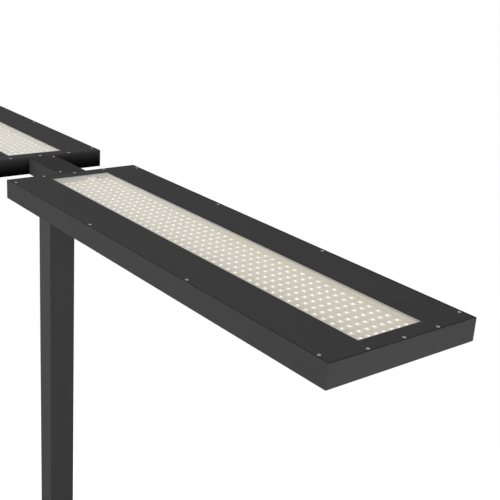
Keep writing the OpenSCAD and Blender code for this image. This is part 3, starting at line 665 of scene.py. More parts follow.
# %% Bare metals
def metal(slot, tone, streak, roughness, line_height, **given):
    """A bare metal with its tone, the tone of its streaks, its roughness and the height of its lines."""
    make_finish(slot, BRUSHED, {"Colour": tone, "Streak Colour": streak, "Roughness": roughness, **given},
                line_height, Metallic=1)


metal("screw_steel", shade(0.50, 0.50, 0.49), grey(0.38), 0.33, 0.01 * MM, **{"Lines per Metre": 9000})
metal("plain_steel", shade(0.42, 0.42, 0.43), shade(0.3, 0.3, 0.31), 0.4, 0.03 * MM)
metal("zinc_sheet", shade(0.63, 0.64, 0.65), shade(0.5, 0.51, 0.52), 0.35, 0.02 * MM)

# %% Plastics and rubber
POLISHED = 0.01 * MM
SATIN = 0.02 * MM
MATT = 0.03 * MM
PEBBLED = 0.05 * MM
COARSE = 0.1 * MM
PRISMS = 0.3 * MM
PEBBLES = 1500
GLOW_OF_CHIPS = shade(1, 0.95, 0.86)
GLOW_OF_PANELS = shade(1, 0.96, 0.9)


def plastic(slot, tone, between, roughness, skin, pebbles=PEBBLES, **settings):
    """A moulded finish: its tone, the tone between pebbles, its roughness and its height of skin."""
    make_finish(slot, MOULDED, {"Colour": tone, "Shade Colour": between, "Pebbles per Metre": pebbles,
                "Roughness": roughness}, skin, **settings)


plastic("black_plastic", shade(0.016, 0.016, 0.017), shade(0.026, 0.026, 0.027), 0.5, PEBBLED)
plastic("dark_key", shade(0.032, 0.032, 0.034), shade(0.046, 0.046, 0.048), 0.42, MATT)
plastic("power_key", shade(0.30, 0.30, 0.31), shade(0.36, 0.36, 0.37), 0.4, MATT)
plastic("rubber_black", grey(0.015), grey(0.03), 0.85, COARSE, 900)
# Painted shade: a near-black strip for the shadow gap round each cover.
plastic("shade_strip_black", grey(0.003), grey(0.008), 0.95, COARSE, 2500, Specular_IOR_Level=0)
plastic("cable_black", shade(0.015, 0.015, 0.016), shade(0.025, 0.025, 0.026), 0.6, MATT)
plastic("white_plastic", shade(0.80, 0.77, 0.71), shade(0.74, 0.71, 0.65), 0.35, SATIN)
plastic("package_white", shade(0.80, 0.77, 0.70), shade(0.74, 0.71, 0.64), 0.4, POLISHED)
plastic("sign_white", shade(0.62, 0.62, 0.61), shade(0.55, 0.55, 0.54), 0.5, POLISHED)
plastic("window_rim", shade(0.70, 0.67, 0.59), shade(0.66, 0.63, 0.55), 0.45, POLISHED)
plastic("socket_white", shade(0.97, 0.93, 0.83), shade(0.93, 0.89, 0.79), 0.4, POLISHED)
plastic("reflector_white", shade(0.86, 0.86, 0.85), shade(0.80, 0.80, 0.79), 0.5, POLISHED)
plastic("circuit_board", shade(0.02, 0.12, 0.05), shade(0.03, 0.17, 0.07), 0.35, SATIN)
plastic("lens_plastic", shade(0.72, 0.72, 0.70), shade(0.50, 0.50, 0.48), 0.3, PRISMS, 450)
plastic("opal_panel", shade(0.84, 0.84, 0.82), shade(0.70, 0.70, 0.68), 0.6, COARSE, 900,
        Specular_IOR_Level=0.08, Emission_Color=GLOW_OF_PANELS, Emission_Strength=0.18)
plastic("light_chip", shade(0.9, 0.82, 0.6), shade(0.85, 0.76, 0.5), 0.4, SATIN,
        Emission_Color=GLOW_OF_CHIPS, Emission_Strength=2.0)

# %% The painted shade of the window
WINDOW_BAND = 2.4 * MM
END_BAND = 2.2 * MM
SHADE_BAND = {"Band Colour": shade(0.42, 0.40, 0.345), "Mark Colour": shade(0.25, 0.235, 0.20),
        "Mark Pitch": 3.8 * MM}
# Painted shade: the window's walls are the frame's white darkened for the recess, with a darker band under
# the rim, and the pane's edges wear that band all over.
band_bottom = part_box("right_pane")[0].z - WINDOW_BAND
make_finish("painted_shade_window_white", PAINTED_SHADE_BAND, {**SHADE_BAND, "Colour": shade(0.49, 0.455, 0.37),
            "Band Bottom": band_bottom, "Deeper at Ends": END_BAND}, SATIN)
make_finish("painted_shade_pane_edge", PAINTED_SHADE_BAND, {**SHADE_BAND, "Roughness": 0.6}, SATIN)
print("band ends at", round(band_bottom / MM, 1), "mm")

# %% The lit board
PAINTED_GLOW_REACH = 4.0 * MM
LATTICE_DIGITS = 5
light_boxes = solid_boxes("right_lights")
lattice = {"Reach": PAINTED_GLOW_REACH}
for letter, axis in (("X", X), ("Y", Y)):
    places = sorted({round((low[axis] + high[axis]) / 2, LATTICE_DIGITS) for low, high in light_boxes})
    lattice[f"First {letter}"] = places[0]
    lattice[f"Pitch {letter}"] = (places[-1] - places[0]) / (len(places) - 1)
    print("lights along", letter, len(places))
# Painted light: the board's lacquer glows round the foot of each light, where the lights would light it.
make_finish("light_board_white", PAINTED_GLOW, {
    **lattice, "Colour": shade(0.94, 0.84, 0.675), "Shade Colour": shade(0.88, 0.785, 0.625),
    "Glow Colour": shade(1, 0.92, 0.78)}, SATIN, Emission_Strength=0.52)

# %% [markdown]
# ### Clear acrylic
# The pane is glass-like to look through, but light that travels to what lies under it should
# not be lost. So rays that carry light pass straight through a transparent shader, and only
# the camera and mirror rays meet the real, bending one. Its colour is the same all over, so it
# is set on the shader itself and not led through the group.

# %% Clear finishes
ACRYLIC_IOR = 1.49
CLEAR_TINT = shade(0.96, 0.96, 0.95)
WAVINESS = 0.002 * MM


def clear_finish(slot, colour, roughness):
    """Clear acrylic. Rays that carry light pass straight through, so what lies under it stays lit."""
    material = make_finish(slot, MOULDED, {"Roughness": roughness, "Roughness Spread": 0.03,
                           "Pebbles per Metre": 300}, WAVINESS, Transmission_Weight=1, IOR=ACRYLIC_IOR,
                           Specular_IOR_Level=0.2)
    tree = material.node_tree
    shader = tree.nodes["Principled BSDF"]
    base = shader.inputs["Base Color"]
    tree.links.remove(base.links[0])
    base.default_value = colour
    path = tree.nodes.new("ShaderNodeLightPath").outputs
    carries = reckon(tree, "MAXIMUM", path["Is Shadow Ray"], path["Is Diffuse Ray"])
    clear = add_node(tree, "ShaderNodeBsdfTransparent", Color=CLEAR_TINT).outputs["BSDF"]
    set_input(tree, tree.nodes["Material Output"].inputs["Surface"],
              mix_shaders(tree, carries, shader.outputs["BSDF"], clear))


clear_finish("clear_pane", shade(0.98, 0.99, 0.98), 0.03)
clear_finish("clear_guide", shade(0.95, 0.98, 0.97), 0.05)
print("finishes:", len(finishes))

# %% [markdown]
# ### Give every construction node its finish
# The record says which slot each node belongs to, so one loop dresses them all.

# %% Dress the nodes
for name, thing in frame["nodes"].items():
    for holder in thing.material_slots:
        holder.material = finishes[slot_of[name]]
print("dressed", len(frame["nodes"]), "nodes")

# %% [markdown]
# ## Helpers for pieces
# A new piece starts as a bmesh, which is Blender's editable mesh. It becomes an object, gets a
# finish, is tied to the body that carries it, and hides the construction nodes it stands for.
# Smooth shading with a limit on the angle keeps real corners crisp, and weighted normals keep
# the large flat faces flat where they meet a small rounding.

# %% A helper that makes a piece
SHARP_ANGLE = math.radians(38)
body_of_node = {name: thing["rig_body"] for name, thing in frame["nodes"].items()}


def make_piece(name, shape, slot_name, nodes=(), body="lamp"):
    """Turn a bmesh into a finished piece that rides on a body and stands for some nodes."""
    bmesh.ops.recalc_face_normals(shape, faces=shape.faces)
    shape.normal_update()
    for face in shape.faces:
        face.smooth = True
    for edge in shape.edges:
        edge.smooth = len(edge.link_faces) == 2 and edge.calc_face_angle(0) < SHARP_ANGLE
    mesh = bpy.data.meshes.new(name)
    shape.to_mesh(mesh)
    shape.free()
    mesh.materials.append(finishes[slot_name])
    piece = bpy.data.objects.new(name, mesh)
    bpy.context.scene.collection.objects.link(piece)
    weighted = piece.modifiers.new("flat faces stay flat", "WEIGHTED_NORMAL")
    weighted.keep_sharp = True
    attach(piece, body)
    if nodes:
        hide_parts(*nodes)
    return piece


def second_finish(piece, slot_name, chosen):
    """Give the faces that chosen(face) picks another finish."""
    piece.data.materials.append(finishes[slot_name])
    for face in piece.data.polygons:
        if chosen(face):
            face.material_index = 1


# %% [markdown]
# ### Softened edges
# No folded, milled or moulded edge is perfectly sharp. A powder coat rounds it further, and the
# thin bright line along an edge is what makes metal look like metal. So the outer edges of each
# casing get a small bevel, while holes and inner bosses keep the shape they were drilled with.

# %% A helper that softens edges
BEVEL_STEPS = 3
CORNER_ANGLE = math.radians(50)


def near_outline(low, high, reach, axes):
    """A test for edges that lie within reach of the outer sides of a box."""
    def test(edge):
        return all(any(vert.co[axis] < low[axis] + reach or vert.co[axis] > high[axis] - reach
                       for axis in axes) for vert in edge.verts)
    return test


def softened_piece(name, node, width, reach, axes=(X, Y), slot_name=None):
    """A node's own shape with its outer edges rounded, as a piece that replaces it."""
    shape = node_shape(node)
    bmesh.ops.dissolve_limit(shape, angle_limit=FLAT_ANGLE, verts=shape.verts, edges=shape.edges)
    chosen = near_outline(*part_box(node), reach, axes)
    edges = [edge for edge in shape.edges
             if len(edge.link_faces) == 2 and edge.calc_face_angle(0) > CORNER_ANGLE
             and edge.is_convex and chosen(edge)]
    bmesh.ops.bevel(shape, geom=edges, offset=width, segments=BEVEL_STEPS, profile=0.5,
                    affect="EDGES", clamp_overlap=True)
    print(name, "edges rounded:", len(edges))
    return make_piece(name, shape, slot_name or slot_of[node], [node], body_of_node[node])


# %% [markdown]
# ### Lofted rings and slabs
# Covers, frames and seals are rectangles with round corners, one inside or above the other. A
# loft lists those rectangles in order and joins each to the next, so a whole frame with its
# collar, rebate and well is one clean strip of faces. A closed ring joins its last rectangle to
# its first, and a slab closes its ends with one face each.

# %% Helpers for lofts
CORNER_STEPS = 5


def inset_box(box, margin):
    """A rectangle (x0, x1, y0, y1) inside another by a margin."""
    return (box[0] + margin, box[1] - margin, box[2] + margin, box[3] - margin)


def rectangle_loop(box, corner, z):
    """Points of a rectangle at height z with round corners, anticlockwise."""
    x_low, x_high, y_low, y_high = box
    centres = [(x_high - corner, y_high - corner), (x_low + corner, y_high - corner),
               (x_low + corner, y_low + corner), (x_high - corner, y_low + corner)]
    points = []
    for quarter, (x, y) in enumerate(centres):
        for step in range(CORNER_STEPS + 1):
            turn = (quarter + step / CORNER_STEPS) * math.pi / 2
            points.append((x + corner * math.cos(turn), y + corner * math.sin(turn), z))
    return points


def rings(box, corner, *steps):
    """Round-cornered rectangles inside a box, one for each step (margin, height)."""
    return [rectangle_loop(inset_box(box, margin), corner, height) for margin, height in steps]


def loft(loops, closed=True, shape=None):
    """Join loops of points in order. A closed loft is a ring, an open one gets end faces."""
    shape = shape or bmesh.new()
    rows = [[shape.verts.new(point) for point in loop] for loop in loops]
    count = len(rows[0])
    pairs = list(zip(rows, rows[1:]))
    if closed:
        pairs.append((rows[-1], rows[0]))
    for first, second in pairs:
        for index in range(count):
            follow = (index + 1) % count
            shape.faces.new((first[index], first[follow], second[follow], second[index]))
    if not closed:
        shape.faces.new(rows[0])
        shape.faces.new(rows[-1])
    return shape


print("helpers ready")

# %% [markdown]
# ## The head housings
# A housing is a tray of folded sheet. Its own shape comes from the construction, with the bosses
# for the screws inside, and only its outline edges are softened, as its coat softens them. The
# face that looks at the other head gets the painted shade that darkens downwards.

# %% Head housings
HOUSING_SOFTENING = 0.45 * MM
HOUSING_REACH = 1.3 * MM
FACING_END = 0.9
for side in SIDES:
    shell = softened_piece(f"{side}_housing_shell", f"{side}_head_housing", HOUSING_SOFTENING, HOUSING_REACH)
    inner_end = min(abs(vert.co.x) for vert in shell.data.vertices)
    # The inner end face gets the painted shade that darkens downwards.
    second_finish(shell, "painted_shade_end_coat", lambda face: abs(face.normal.x) > FACING_END
                  and abs(abs(face.center.x) - inner_end) < MERGE)
print("inner ends at", round(inner_end / MM, 1), "mm")

# %% [markdown]
# ## The top covers and the painted shade round them
# The cover is a flat plate with a window. It lies inside the rim of the housing, and the line
# between the two is what the eye reads as the lid. That line is a shadow gap, so a near-black strip
# fills it as painted shade, and from above it looks almost black. The strip is as wide as
# the gap that the housing's wall leaves in front of the cover. The cover is a closed loft of
# rectangles: up its edge, in over the top, down in the window and back underneath.

# %% Top covers
COVER_CORNER = 0.8 * MM
COVER_SOFTENING = 0.3 * MM
WINDOW_CORNER = 0.4 * MM
COLLAR = 0.9 * MM


def window_box(side):
    """The outline of a head's window: the pane's outline grown by the collar round it."""
    return inset_box(flat_box(f"{side}_pane"), -COLLAR)


for side in SIDES:
    cover_low, cover_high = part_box(f"{side}_top_cover")
    top, bottom, soft = cover_high.z, cover_low.z, COVER_SOFTENING
    make_piece(f"{side}_cover_plate", loft(
        rings(flat_box(f"{side}_top_cover"), COVER_CORNER,
              (0, bottom), (0, top - soft), (soft / 3, top - soft / 3), (soft, top))
        + rings(window_box(side), WINDOW_CORNER,
                (-soft, top), (-soft / 3, top - soft / 3), (0, top - soft), (0, bottom))),
        "cover_coat", [f"{side}_top_cover"])
print("covers:", 2)

# %% Painted shade strips between cover and housing
RIM_WALL = 2.5 * MM
SHADE_STRIP_GAP = 0.05 * MM
SHADE_STRIP_SINK = 0.08 * MM
SHADE_STRIP_HEIGHT = 1.3 * MM
for side in SIDES:
    housing, cover = flat_box(f"{side}_head_housing"), flat_box(f"{side}_top_cover")
    gap = cover[2] - housing[2] - RIM_WALL
    foot, shoulder, crown = head_top - SHADE_STRIP_HEIGHT, head_top - 3 * SHADE_STRIP_SINK, head_top - SHADE_STRIP_SINK
    make_piece(f"{side}_cover_shade_strip", loft(
        rings(inset_box(cover, -gap), COVER_CORNER,
              (SHADE_STRIP_GAP, foot), (SHADE_STRIP_GAP, shoulder), (gap / 2, crown), (gap - SHADE_STRIP_GAP, shoulder),
              (gap - SHADE_STRIP_GAP, foot))), "shade_strip_black")
print("seals:", 2, "gap in mm:", round(gap / MM, 2))

# %% [markdown]
# ## Behind the window
# A white plastic frame lines the window. Its thin collar comes up flush with the cover, a rebate
# in it carries the clear pane, and below the pane its walls go down to the lit board. The frame
# wears its white darkened with painted shade, all but the top of its collar. The frame is one
# closed loft through all those steps. The pane is a slab with softened edges.

# %% Light frames
FRAME_CORNER = 0.4 * MM
FRAME_PLAY = 0.1 * MM
PANE_PLAY = 0.1 * MM
PANE_REST = 1.0 * MM
FLANGE_BELOW_REST = 0.2 * MM
FRAME_WALL = 2.0 * MM
FRAME_SOFTENING = 0.15 * MM
for side in SIDES:
    frame_low, frame_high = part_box(f"{side}_light_frame")
    pane_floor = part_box(f"{side}_pane")[0].z
    cover_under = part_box(f"{side}_top_cover")[0].z
    flange_under = cover_under - PANE_REST - FLANGE_BELOW_REST
    collar_top = frame_high.z
    flange = flat_box(f"{side}_light_frame")
    opening = inset_box(window_box(side), FRAME_PLAY)
    rebate = inset_box(flat_box(f"{side}_pane"), -PANE_PLAY)
    well = inset_box(rebate, PANE_REST)
    soft = FRAME_SOFTENING
    lining = make_piece(f"{side}_window_frame", loft(
        rings(opening, FRAME_CORNER, (-FRAME_WALL, frame_low.z), (-FRAME_WALL, flange_under))
        + rings(flange, FRAME_CORNER, (0, flange_under), (0, cover_under))
        + rings(opening, FRAME_CORNER, (0, cover_under), (0, collar_top - soft), (soft, collar_top))
        + rings(rebate, FRAME_CORNER, (-soft, collar_top), (0, collar_top - soft), (0, pane_floor))
        + rings(well, FRAME_CORNER, (-soft, pane_floor), (0, pane_floor - soft), (0, frame_low.z))),
        "painted_shade_window_white", [f"{side}_light_frame"])
    second_finish(lining, "window_rim", lambda face: face.center.z > collar_top - soft)
print("frames:", 2, "well depth in mm:", round((head_top - frame_low.z) / MM, 1))

# %% Clear panes
PANE_SOFTENING = 0.25 * MM
EDGE_SLOPE = 0.9
for side in SIDES:
    pane_low, pane_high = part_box(f"{side}_pane")
    soft = PANE_SOFTENING
    pane = make_piece(f"{side}_clear_pane", loft(
        rings(flat_box(f"{side}_pane"), FRAME_CORNER, (soft, pane_low.z), (0, pane_low.z + soft),
              (0, pane_high.z - soft), (soft, pane_high.z)), closed=False), "clear_pane", [f"{side}_pane"])
    # The pane's edges get painted shade, a dark strip along the wall just under the rim.
    second_finish(pane, "painted_shade_pane_edge", lambda face: abs(face.normal.z) < EDGE_SLOPE)
print("panes:", 2)

# %% Opal panels underneath
PANEL_SOFTENING = 0.3 * MM
for side in SIDES:
    panel_low, panel_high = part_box(f"{side}_diffuser")
    outline, soft = flat_box(f"{side}_diffuser"), PANEL_SOFTENING
    make_piece(f"{side}_opal_panel", loft(
        rings(outline, soft * 2, (soft, panel_low.z))
        + rings(outline, soft * 3, (0, panel_low.z + soft), (0, panel_high.z)), closed=False),
        "opal_panel", [f"{side}_diffuser"])
print("opal panels:", 2)

# %% [markdown]
# ## The field of small lights
# Each light is a little white package with a yellowish lens of silicone, soldered to the board.
# Its place is read from the construction, one box for each light, so the field always fits the
# board. The package is a block with softened top edges, and the lens is a low dome of rings.
# All packages of a head are one piece and all lenses another, because they have two finishes.

# %% Lights
PACKAGE_SHARE = 0.6
PACKAGE_CORNER = 0.25 * MM
LENS_SHARE = 0.46
LENS_SIDES = 12
LENS_RINGS = 3
LENS_WALL_SHARE = 0.3
LENS_TIP_SHARE = 0.12


def package(shape, low, high):
    """One package: a block with round upright edges and a chamfered top."""
    top = low.z + (high.z - low.z) * PACKAGE_SHARE
    block = (low.x, high.x, low.y, high.y)
    chamfer = PACKAGE_CORNER / 2
    loft(rings(block, PACKAGE_CORNER, (0, low.z), (0, top - chamfer), (chamfer, top)),
         closed=False, shape=shape)


def dome(shape, centre, radius, base, rise):
    """A low dome that stands on a round wall at height base and rises above it."""
    turns = [2 * math.pi * step / LENS_SIDES for step in range(LENS_SIDES)]
    slopes = [math.pi / 2 * ring / LENS_RINGS for ring in range(LENS_RINGS)]
    profile = [(1, 0)] + [(math.cos(slope), LENS_WALL_SHARE + (1 - LENS_WALL_SHARE) * math.sin(slope))
                          for slope in slopes] + [(LENS_TIP_SHARE, 1)]
    loft([[(centre.x + radius * share * math.cos(turn), centre.y + radius * share * math.sin(turn),
            base + rise * height) for turn in turns] for share, height in profile],
         closed=False, shape=shape)


for side in SIDES:
    packages, lenses = bmesh.new(), bmesh.new()
    boxes = solid_boxes(f"{side}_lights")
    for low, high in boxes:
        package(packages, low, high)
        lens_base = low.z + (high.z - low.z) * PACKAGE_SHARE
        dome(lenses, (low + high) / 2, (high.x - low.x) * LENS_SHARE, lens_base, high.z - lens_base)
    make_piece(f"{side}_light_packages", packages, "package_white", [f"{side}_lights"])
    make_piece(f"{side}_light_lenses", lenses, "light_chip", [f"{side}_lights"])
    print(side, "lights:", len(boxes))

# %% [markdown]
# ## Lead sockets
# The supply lead of a board ends in a little white socket at the inner end of the window, and the
# photograph shows it as a pale patch. The construction has it as the board's highest block. This
# piece is a shell over that block with round corners and a shallow mouth in its top.

# %% Lead sockets
SOCKET_SKIN = 0.1 * MM
SOCKET_WALL = 1.0 * MM
SOCKET_MOUTH = 1.4 * MM
for side in SIDES:
    board_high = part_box(f"{side}_light_board")[1].z
    board_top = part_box(f"{side}_lights")[0].z
    top_points = [vert.co for vert in frame["nodes"][f"{side}_light_board"].data.vertices
                  if vert.co.z > board_high - MERGE]
    block = (min(point.x for point in top_points), max(point.x for point in top_points),
             min(point.y for point in top_points), max(point.y for point in top_points))
    top, soft = board_high + SOCKET_MOUTH, SOCKET_SKIN * 2
    make_piece(f"{side}_lead_socket", loft(
        rings(block, SOCKET_WALL / 2, (-SOCKET_SKIN, board_top), (-SOCKET_SKIN, top - soft),
              (soft - SOCKET_SKIN, top), (SOCKET_WALL - soft, top), (SOCKET_WALL, top - soft),
              (SOCKET_WALL, board_high + SOCKET_SKIN)), closed=False), "socket_white")
    print(side, "socket block in mm:", [round(value / MM, 1) for value in block])

# %% [markdown]
# ## Screws
# Each screw is turned on a lathe and its socket is pressed in with a hexagonal punch. A lathed
# shape is a stack of rings, and a ring can be pulled to a hexagon by changing its radius with the
# angle, so head, crown and socket are one loft. The screws of the covers have a low round head,
# the ones of the control panel and of the base are countersunk. The rows of a head are written as
# shares of its radius and of its height.

# %% Helpers for screws
UPRIGHT = Matrix.Identity(3)
TOWARDS_FRONT = Matrix.Rotation(math.pi / 2, 3, "X")
TOWARDS_BACK = Matrix.Rotation(-math.pi / 2, 3, "X")
TOWARDS_FLOOR = Matrix.Rotation(math.pi, 3, "X")
RING_SIDES = 24
SIXTH = math.pi / 3
CROWN_FLAT_SHARE = 0.52
CROWN_FOOT_SHARE = 0.16
CROWN_STEPS = 5


def turned(rows, place, turn_matrix, shape=None, sides=RING_SIDES, closed=False):
    """A lathed shape. Each row is (radius, height, share of hexagon). A closed one is a tube."""
    loops = []
    for radius, height, hexagon in rows:
        loop = []
        for step in range(sides):
            angle = 2 * math.pi * step / sides
            flat = math.cos(SIXTH / 2) / math.cos((angle % SIXTH) - SIXTH / 2)
            reach = radius * (1 - hexagon + hexagon * flat)
            point = turn_matrix @ Vector((reach * math.cos(angle), reach * math.sin(angle), height))
            loop.append(place + point)
        loops.append(loop)
    return loft(loops, closed=closed, shape=shape)


def lathed_piece(name, node, slot_name, axis, level, rows_of, turn_matrix=UPRIGHT, sides=RING_SIDES):
    """A piece for a node of like solids. Each is turned on a lathe from the rows for its own box."""
    shape = bmesh.new()
    boxes = solid_boxes(node)
    for low, high in boxes:
        turned(rows_of(low, high), middle_at(low, high, axis, level), turn_matrix, shape, sides)
    make_piece(name, shape, slot_name, [node])
    print(name, "solids:", len(boxes))


def screw_point(shank, length):
    """The chamfered end of a screw's shank."""
    return [(shank * 0.7, -length, 0), (shank, -length + shank * 0.4, 0)]


def button_head(head, rise, shank, length):
    """Rows of a screw with a low round head, its underside at height zero."""
    slopes = [math.pi / 2 * step / CROWN_STEPS for step in range(CROWN_STEPS + 1)]
    crown = [(head * (CROWN_FLAT_SHARE + (1 - CROWN_FLAT_SHARE) * math.cos(slope)),
              rise * (CROWN_FOOT_SHARE + (1 - CROWN_FOOT_SHARE) * math.sin(slope)), 0) for slope in slopes]
    socket = [(head * 0.43, rise * 0.97, 1), (head * 0.40, rise * 0.40, 1), (head * 0.08, rise * 0.30, 0)]
    return screw_point(shank, length) + [(shank, 0, 0), (head, 0, 0)] + crown + socket


def flat_head(head, shank, length):
    """Rows of a countersunk screw, its flat face at height zero."""
    cone = head - shank
    face = [(shank, -cone, 0), (head * 0.99, -0.06 * head, 0), (head * 0.96, 0, 0)]
    socket = [(head * 0.50, 0, 1), (head * 0.46, -0.1 * head, 1), (head * 0.44, -0.5 * cone, 1),
              (head * 0.08, -0.6 * cone, 0)]
    return screw_point(shank, length) + face + socket


# %% Screws of the covers
SHANK = 1.5 * MM
for start, carrier in (("right", "right_top_cover"), ("left", "left_top_cover"), ("arm", "arm_cover")):
    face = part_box(carrier)[1].z
    lathed_piece(f"{start}_cover_button_screws", f"{start}_cover_screws", "screw_steel", Z, face,
                 lambda low, high: button_head((high.x - low.x) / 2, high.z - face, SHANK, face - low.z))

# %% Countersunk screws of the panel and the base
BASE_SHANK = 4 * MM
lathed_piece("panel_flat_screws", "panel_screws", "screw_steel", Y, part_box("panel_screws")[0].y,
             lambda low, high: flat_head((high.x - low.x) / 2, SHANK, high.y - low.y), TOWARDS_FRONT)
lathed_piece("base_flat_bolts", "base_bolts", "screw_steel", Z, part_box("base_bolts")[0].z,
             lambda low, high: flat_head((high.x - low.x) / 2, BASE_SHANK, high.z - low.z), TOWARDS_FLOOR)

# %% [markdown]
# ## Arm and base
# The arm is a channel of sheet steel with a lid, and the base is a heavy plate with milled edges.
# They are right as constructed, so only their edges change. The post is right as it is and keeps
# its own mesh. The rubber pads get a rounded rim and a ring groove, as moulded pads have.

# %% Arm and base
SHEET_SOFTENING = 0.4 * MM
SHEET_REACH = 1.0 * MM
LID_SOFTENING = 0.25 * MM
LID_REACH = 0.3 * MM
PLATE_SOFTENING = 1.2 * MM
PLATE_REACH = 25 * MM
softened_piece("arm_shell", "arm_channel", SHEET_SOFTENING, SHEET_REACH, axes=(Y,))
softened_piece("arm_lid", "arm_cover", LID_SOFTENING, LID_REACH, slot_name="lid_coat")
softened_piece("floor_plate", "base_plate", PLATE_SOFTENING, PLATE_REACH)

# %% Rubber pads
PAD_SIDES = 48
PAD_RIM = [(1, 0), (1, 0.6), (0.97, 0.9), (0.92, 1)]
PAD_GROOVE = [(0.66, 1), (0.63, 0.7), (0.55, 0.7), (0.52, 1), (0.05, 1)]


def pad_rows(low, high):
    """Rows of a pad, from its shares of the radius outwards and of the height downwards."""
    return [((high.x - low.x) / 2 * outwards, (high.z - low.z) * downwards, 0)
            for outwards, downwards in PAD_RIM + PAD_GROOVE]


lathed_piece("floor_pads", "base_pads", "rubber_black", Z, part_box("base_pads")[1].z, pad_rows,
             TOWARDS_FLOOR, PAD_SIDES)

# %% [markdown]
# ### Cable gland
# The gland is a moulded tube with a hexagonal flange outside the post and a thread that goes
# through its wall. It is turned like a screw, as a closed loft, so that its bore stays open.

# %% Cable gland
GLAND_SIDES = 48
GLAND_FLANGE = 6 * MM
GLAND_CHAMFER = 0.5 * MM
GLAND_THREAD = 8 * MM
GLAND_BORE = 4 * MM
GLAND_MOUTH = 1.7 * MM
FLANGE_TOP_SHARE = 0.9
NOSE_FOOT_SHARE = 1.03
low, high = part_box("cable_gland")
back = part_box("post")[1].y
corner_radius, nose, depth = (high.x - low.x) / 2, high.y - back, back - low.y
gland = turned(
    [(GLAND_THREAD, -depth, 0), (GLAND_THREAD, 0, 0), (corner_radius, 0, 1),
     (corner_radius, GLAND_FLANGE - GLAND_CHAMFER, 1), (corner_radius * FLANGE_TOP_SHARE, GLAND_FLANGE, 0),
     (GLAND_THREAD * NOSE_FOOT_SHARE, GLAND_FLANGE, 0), (GLAND_THREAD - GLAND_MOUTH, nose - GLAND_CHAMFER, 0),
     (GLAND_THREAD - GLAND_MOUTH - GLAND_CHAMFER, nose, 0), (GLAND_BORE + GLAND_CHAMFER, nose, 0),
     (GLAND_BORE, nose - GLAND_CHAMFER, 0), (GLAND_BORE, -depth, 0)],
    middle_at(low, high, Y, back), TOWARDS_BACK, sides=GLAND_SIDES, closed=True)
make_piece("gland_body", gland, "black_plastic", ["cable_gland"])
print("gland stands out by", round(nose / MM, 1), "mm")

# %% [markdown]
# ## The control panel and its buttons
# The panel is a moulded plate on the post. Its buttons have a soft edge and a shallow dish for
# the fingertip, and each carries a plain generic sign: a ring with a bar for power, a plus and a
# minus for the brightness. The signs are thin inlays that move with their buttons.

# %% Control panel
PANEL_EDGE = 0.8 * MM
PANEL_REACH = 1.0 * MM
softened_piece("panel_plate", "control_panel", PANEL_EDGE, PANEL_REACH, axes=(X,), slot_name="black_plastic")

# %% Push buttons
BUTTON_SIDES = 48
BUTTON_DISH = 0.45 * MM
DISH_SHARES = (0.84, 0.7, 0.55, 0.4, 0.25, 0.04)
DISH_RIM_SQUARE = 0.72
BUTTON_EDGE = 0.7 * MM
EDGE_SHARE = 0.3
BUTTON_FLANGE_HEIGHT = 1.2 * MM
BUTTON_STEM = 2 * MM
BUTTON_CAP = 7 * MM
PANEL_HOLLOW = 0.1 * MM
post_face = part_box("post")[0].y
button_names = ("power_button", "brighter_button", "dimmer_button")
for name in button_names:
    low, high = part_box(name)
    face = post_face - low.y
    flange = (high.x - low.x) / 2
    seat = -PANEL_HOLLOW
    stem = [(BUTTON_STEM, post_face - high.y, 0), (BUTTON_STEM, seat - BUTTON_FLANGE_HEIGHT, 0),
            (flange, seat - BUTTON_FLANGE_HEIGHT, 0), (flange, seat, 0)]
    wall = [(BUTTON_CAP, seat, 0), (BUTTON_CAP, face - BUTTON_EDGE, 0),
            (BUTTON_CAP - BUTTON_EDGE * EDGE_SHARE, face - BUTTON_EDGE * EDGE_SHARE, 0),
            (BUTTON_CAP - BUTTON_EDGE, face, 0)]
    dish = [(BUTTON_CAP * share, face - BUTTON_DISH * (1 - share * share / DISH_RIM_SQUARE), 0)
            for share in DISH_SHARES]
    cap = turned(stem + wall + dish, middle_at(low, high, Y, post_face), TOWARDS_FRONT, sides=BUTTON_SIDES)
    make_piece(name.replace("button", "button_cap"), cap, slot_of[name], [name], name)
print("buttons:", len(button_names))

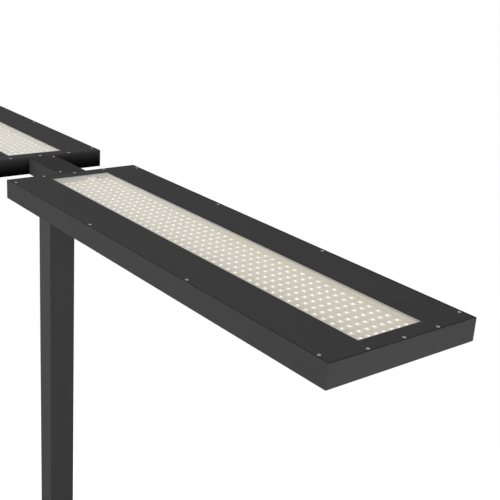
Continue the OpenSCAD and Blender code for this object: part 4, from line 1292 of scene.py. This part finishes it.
# %% Signs on the buttons
SIGN_REACH = 2.6 * MM
SIGN_WIDTH = 0.7 * MM
SIGN_TOP = BUTTON_DISH * 0.45
SIGN_FOOT = BUTTON_DISH * 1.6
SIGN_STEPS = 28
POWER_GAP = math.radians(34)
POWER_BAR_PLACE = SIGN_REACH * 0.72
POWER_BAR_REACH = SIGN_REACH * 0.45


def sign_bar(shape, centre, half_x, half_z, rise=0):
    """A bar of a sign, raised above the button's centre."""
    corners = [(-half_x, -half_z), (half_x, -half_z), (half_x, half_z), (-half_x, half_z)]
    middle = centre + Vector((0, 0, rise))
    loft([[middle + Vector((x, depth, z)) for x, z in corners] for depth in (SIGN_TOP, SIGN_FOOT)],
         closed=False, shape=shape)


def sign_arc(shape, centre, radius):
    """An open ring with a gap at the top."""
    rows = []
    for step in range(SIGN_STEPS + 1):
        angle = math.pi / 2 + POWER_GAP + (2 * math.pi - 2 * POWER_GAP) * step / SIGN_STEPS
        rows.append([centre + Vector((reach * math.cos(angle), depth, reach * math.sin(angle)))
                     for reach, depth in ((radius, SIGN_TOP), (radius + SIGN_WIDTH, SIGN_TOP),
                                          (radius + SIGN_WIDTH, SIGN_FOOT), (radius, SIGN_FOOT))])
    loft(rows, closed=False, shape=shape)


for name in button_names:
    low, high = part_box(name)
    centre = middle_at(low, high, Y, low.y)
    half = SIGN_WIDTH / 2
    sign = bmesh.new()
    if name == "power_button":
        sign_arc(sign, centre, SIGN_REACH - SIGN_WIDTH)
        sign_bar(sign, centre, half, POWER_BAR_REACH, POWER_BAR_PLACE)
    else:
        sign_bar(sign, centre, SIGN_REACH, half)
    if name == "brighter_button":
        half_arm = (SIGN_REACH - half) / 2
        for way in (-1, 1):
            sign_bar(sign, centre, half, half_arm, way * (half + half_arm))
    make_piece(name.replace("button", "sign"), sign, "sign_white", body=name)
print("signs:", len(button_names))

# %% [markdown]
# ## The size of the lamp
# The looks must not change the lamp's size, so the box round all shown parts is found at the end.

# %% Sizes and the last line
low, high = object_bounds()
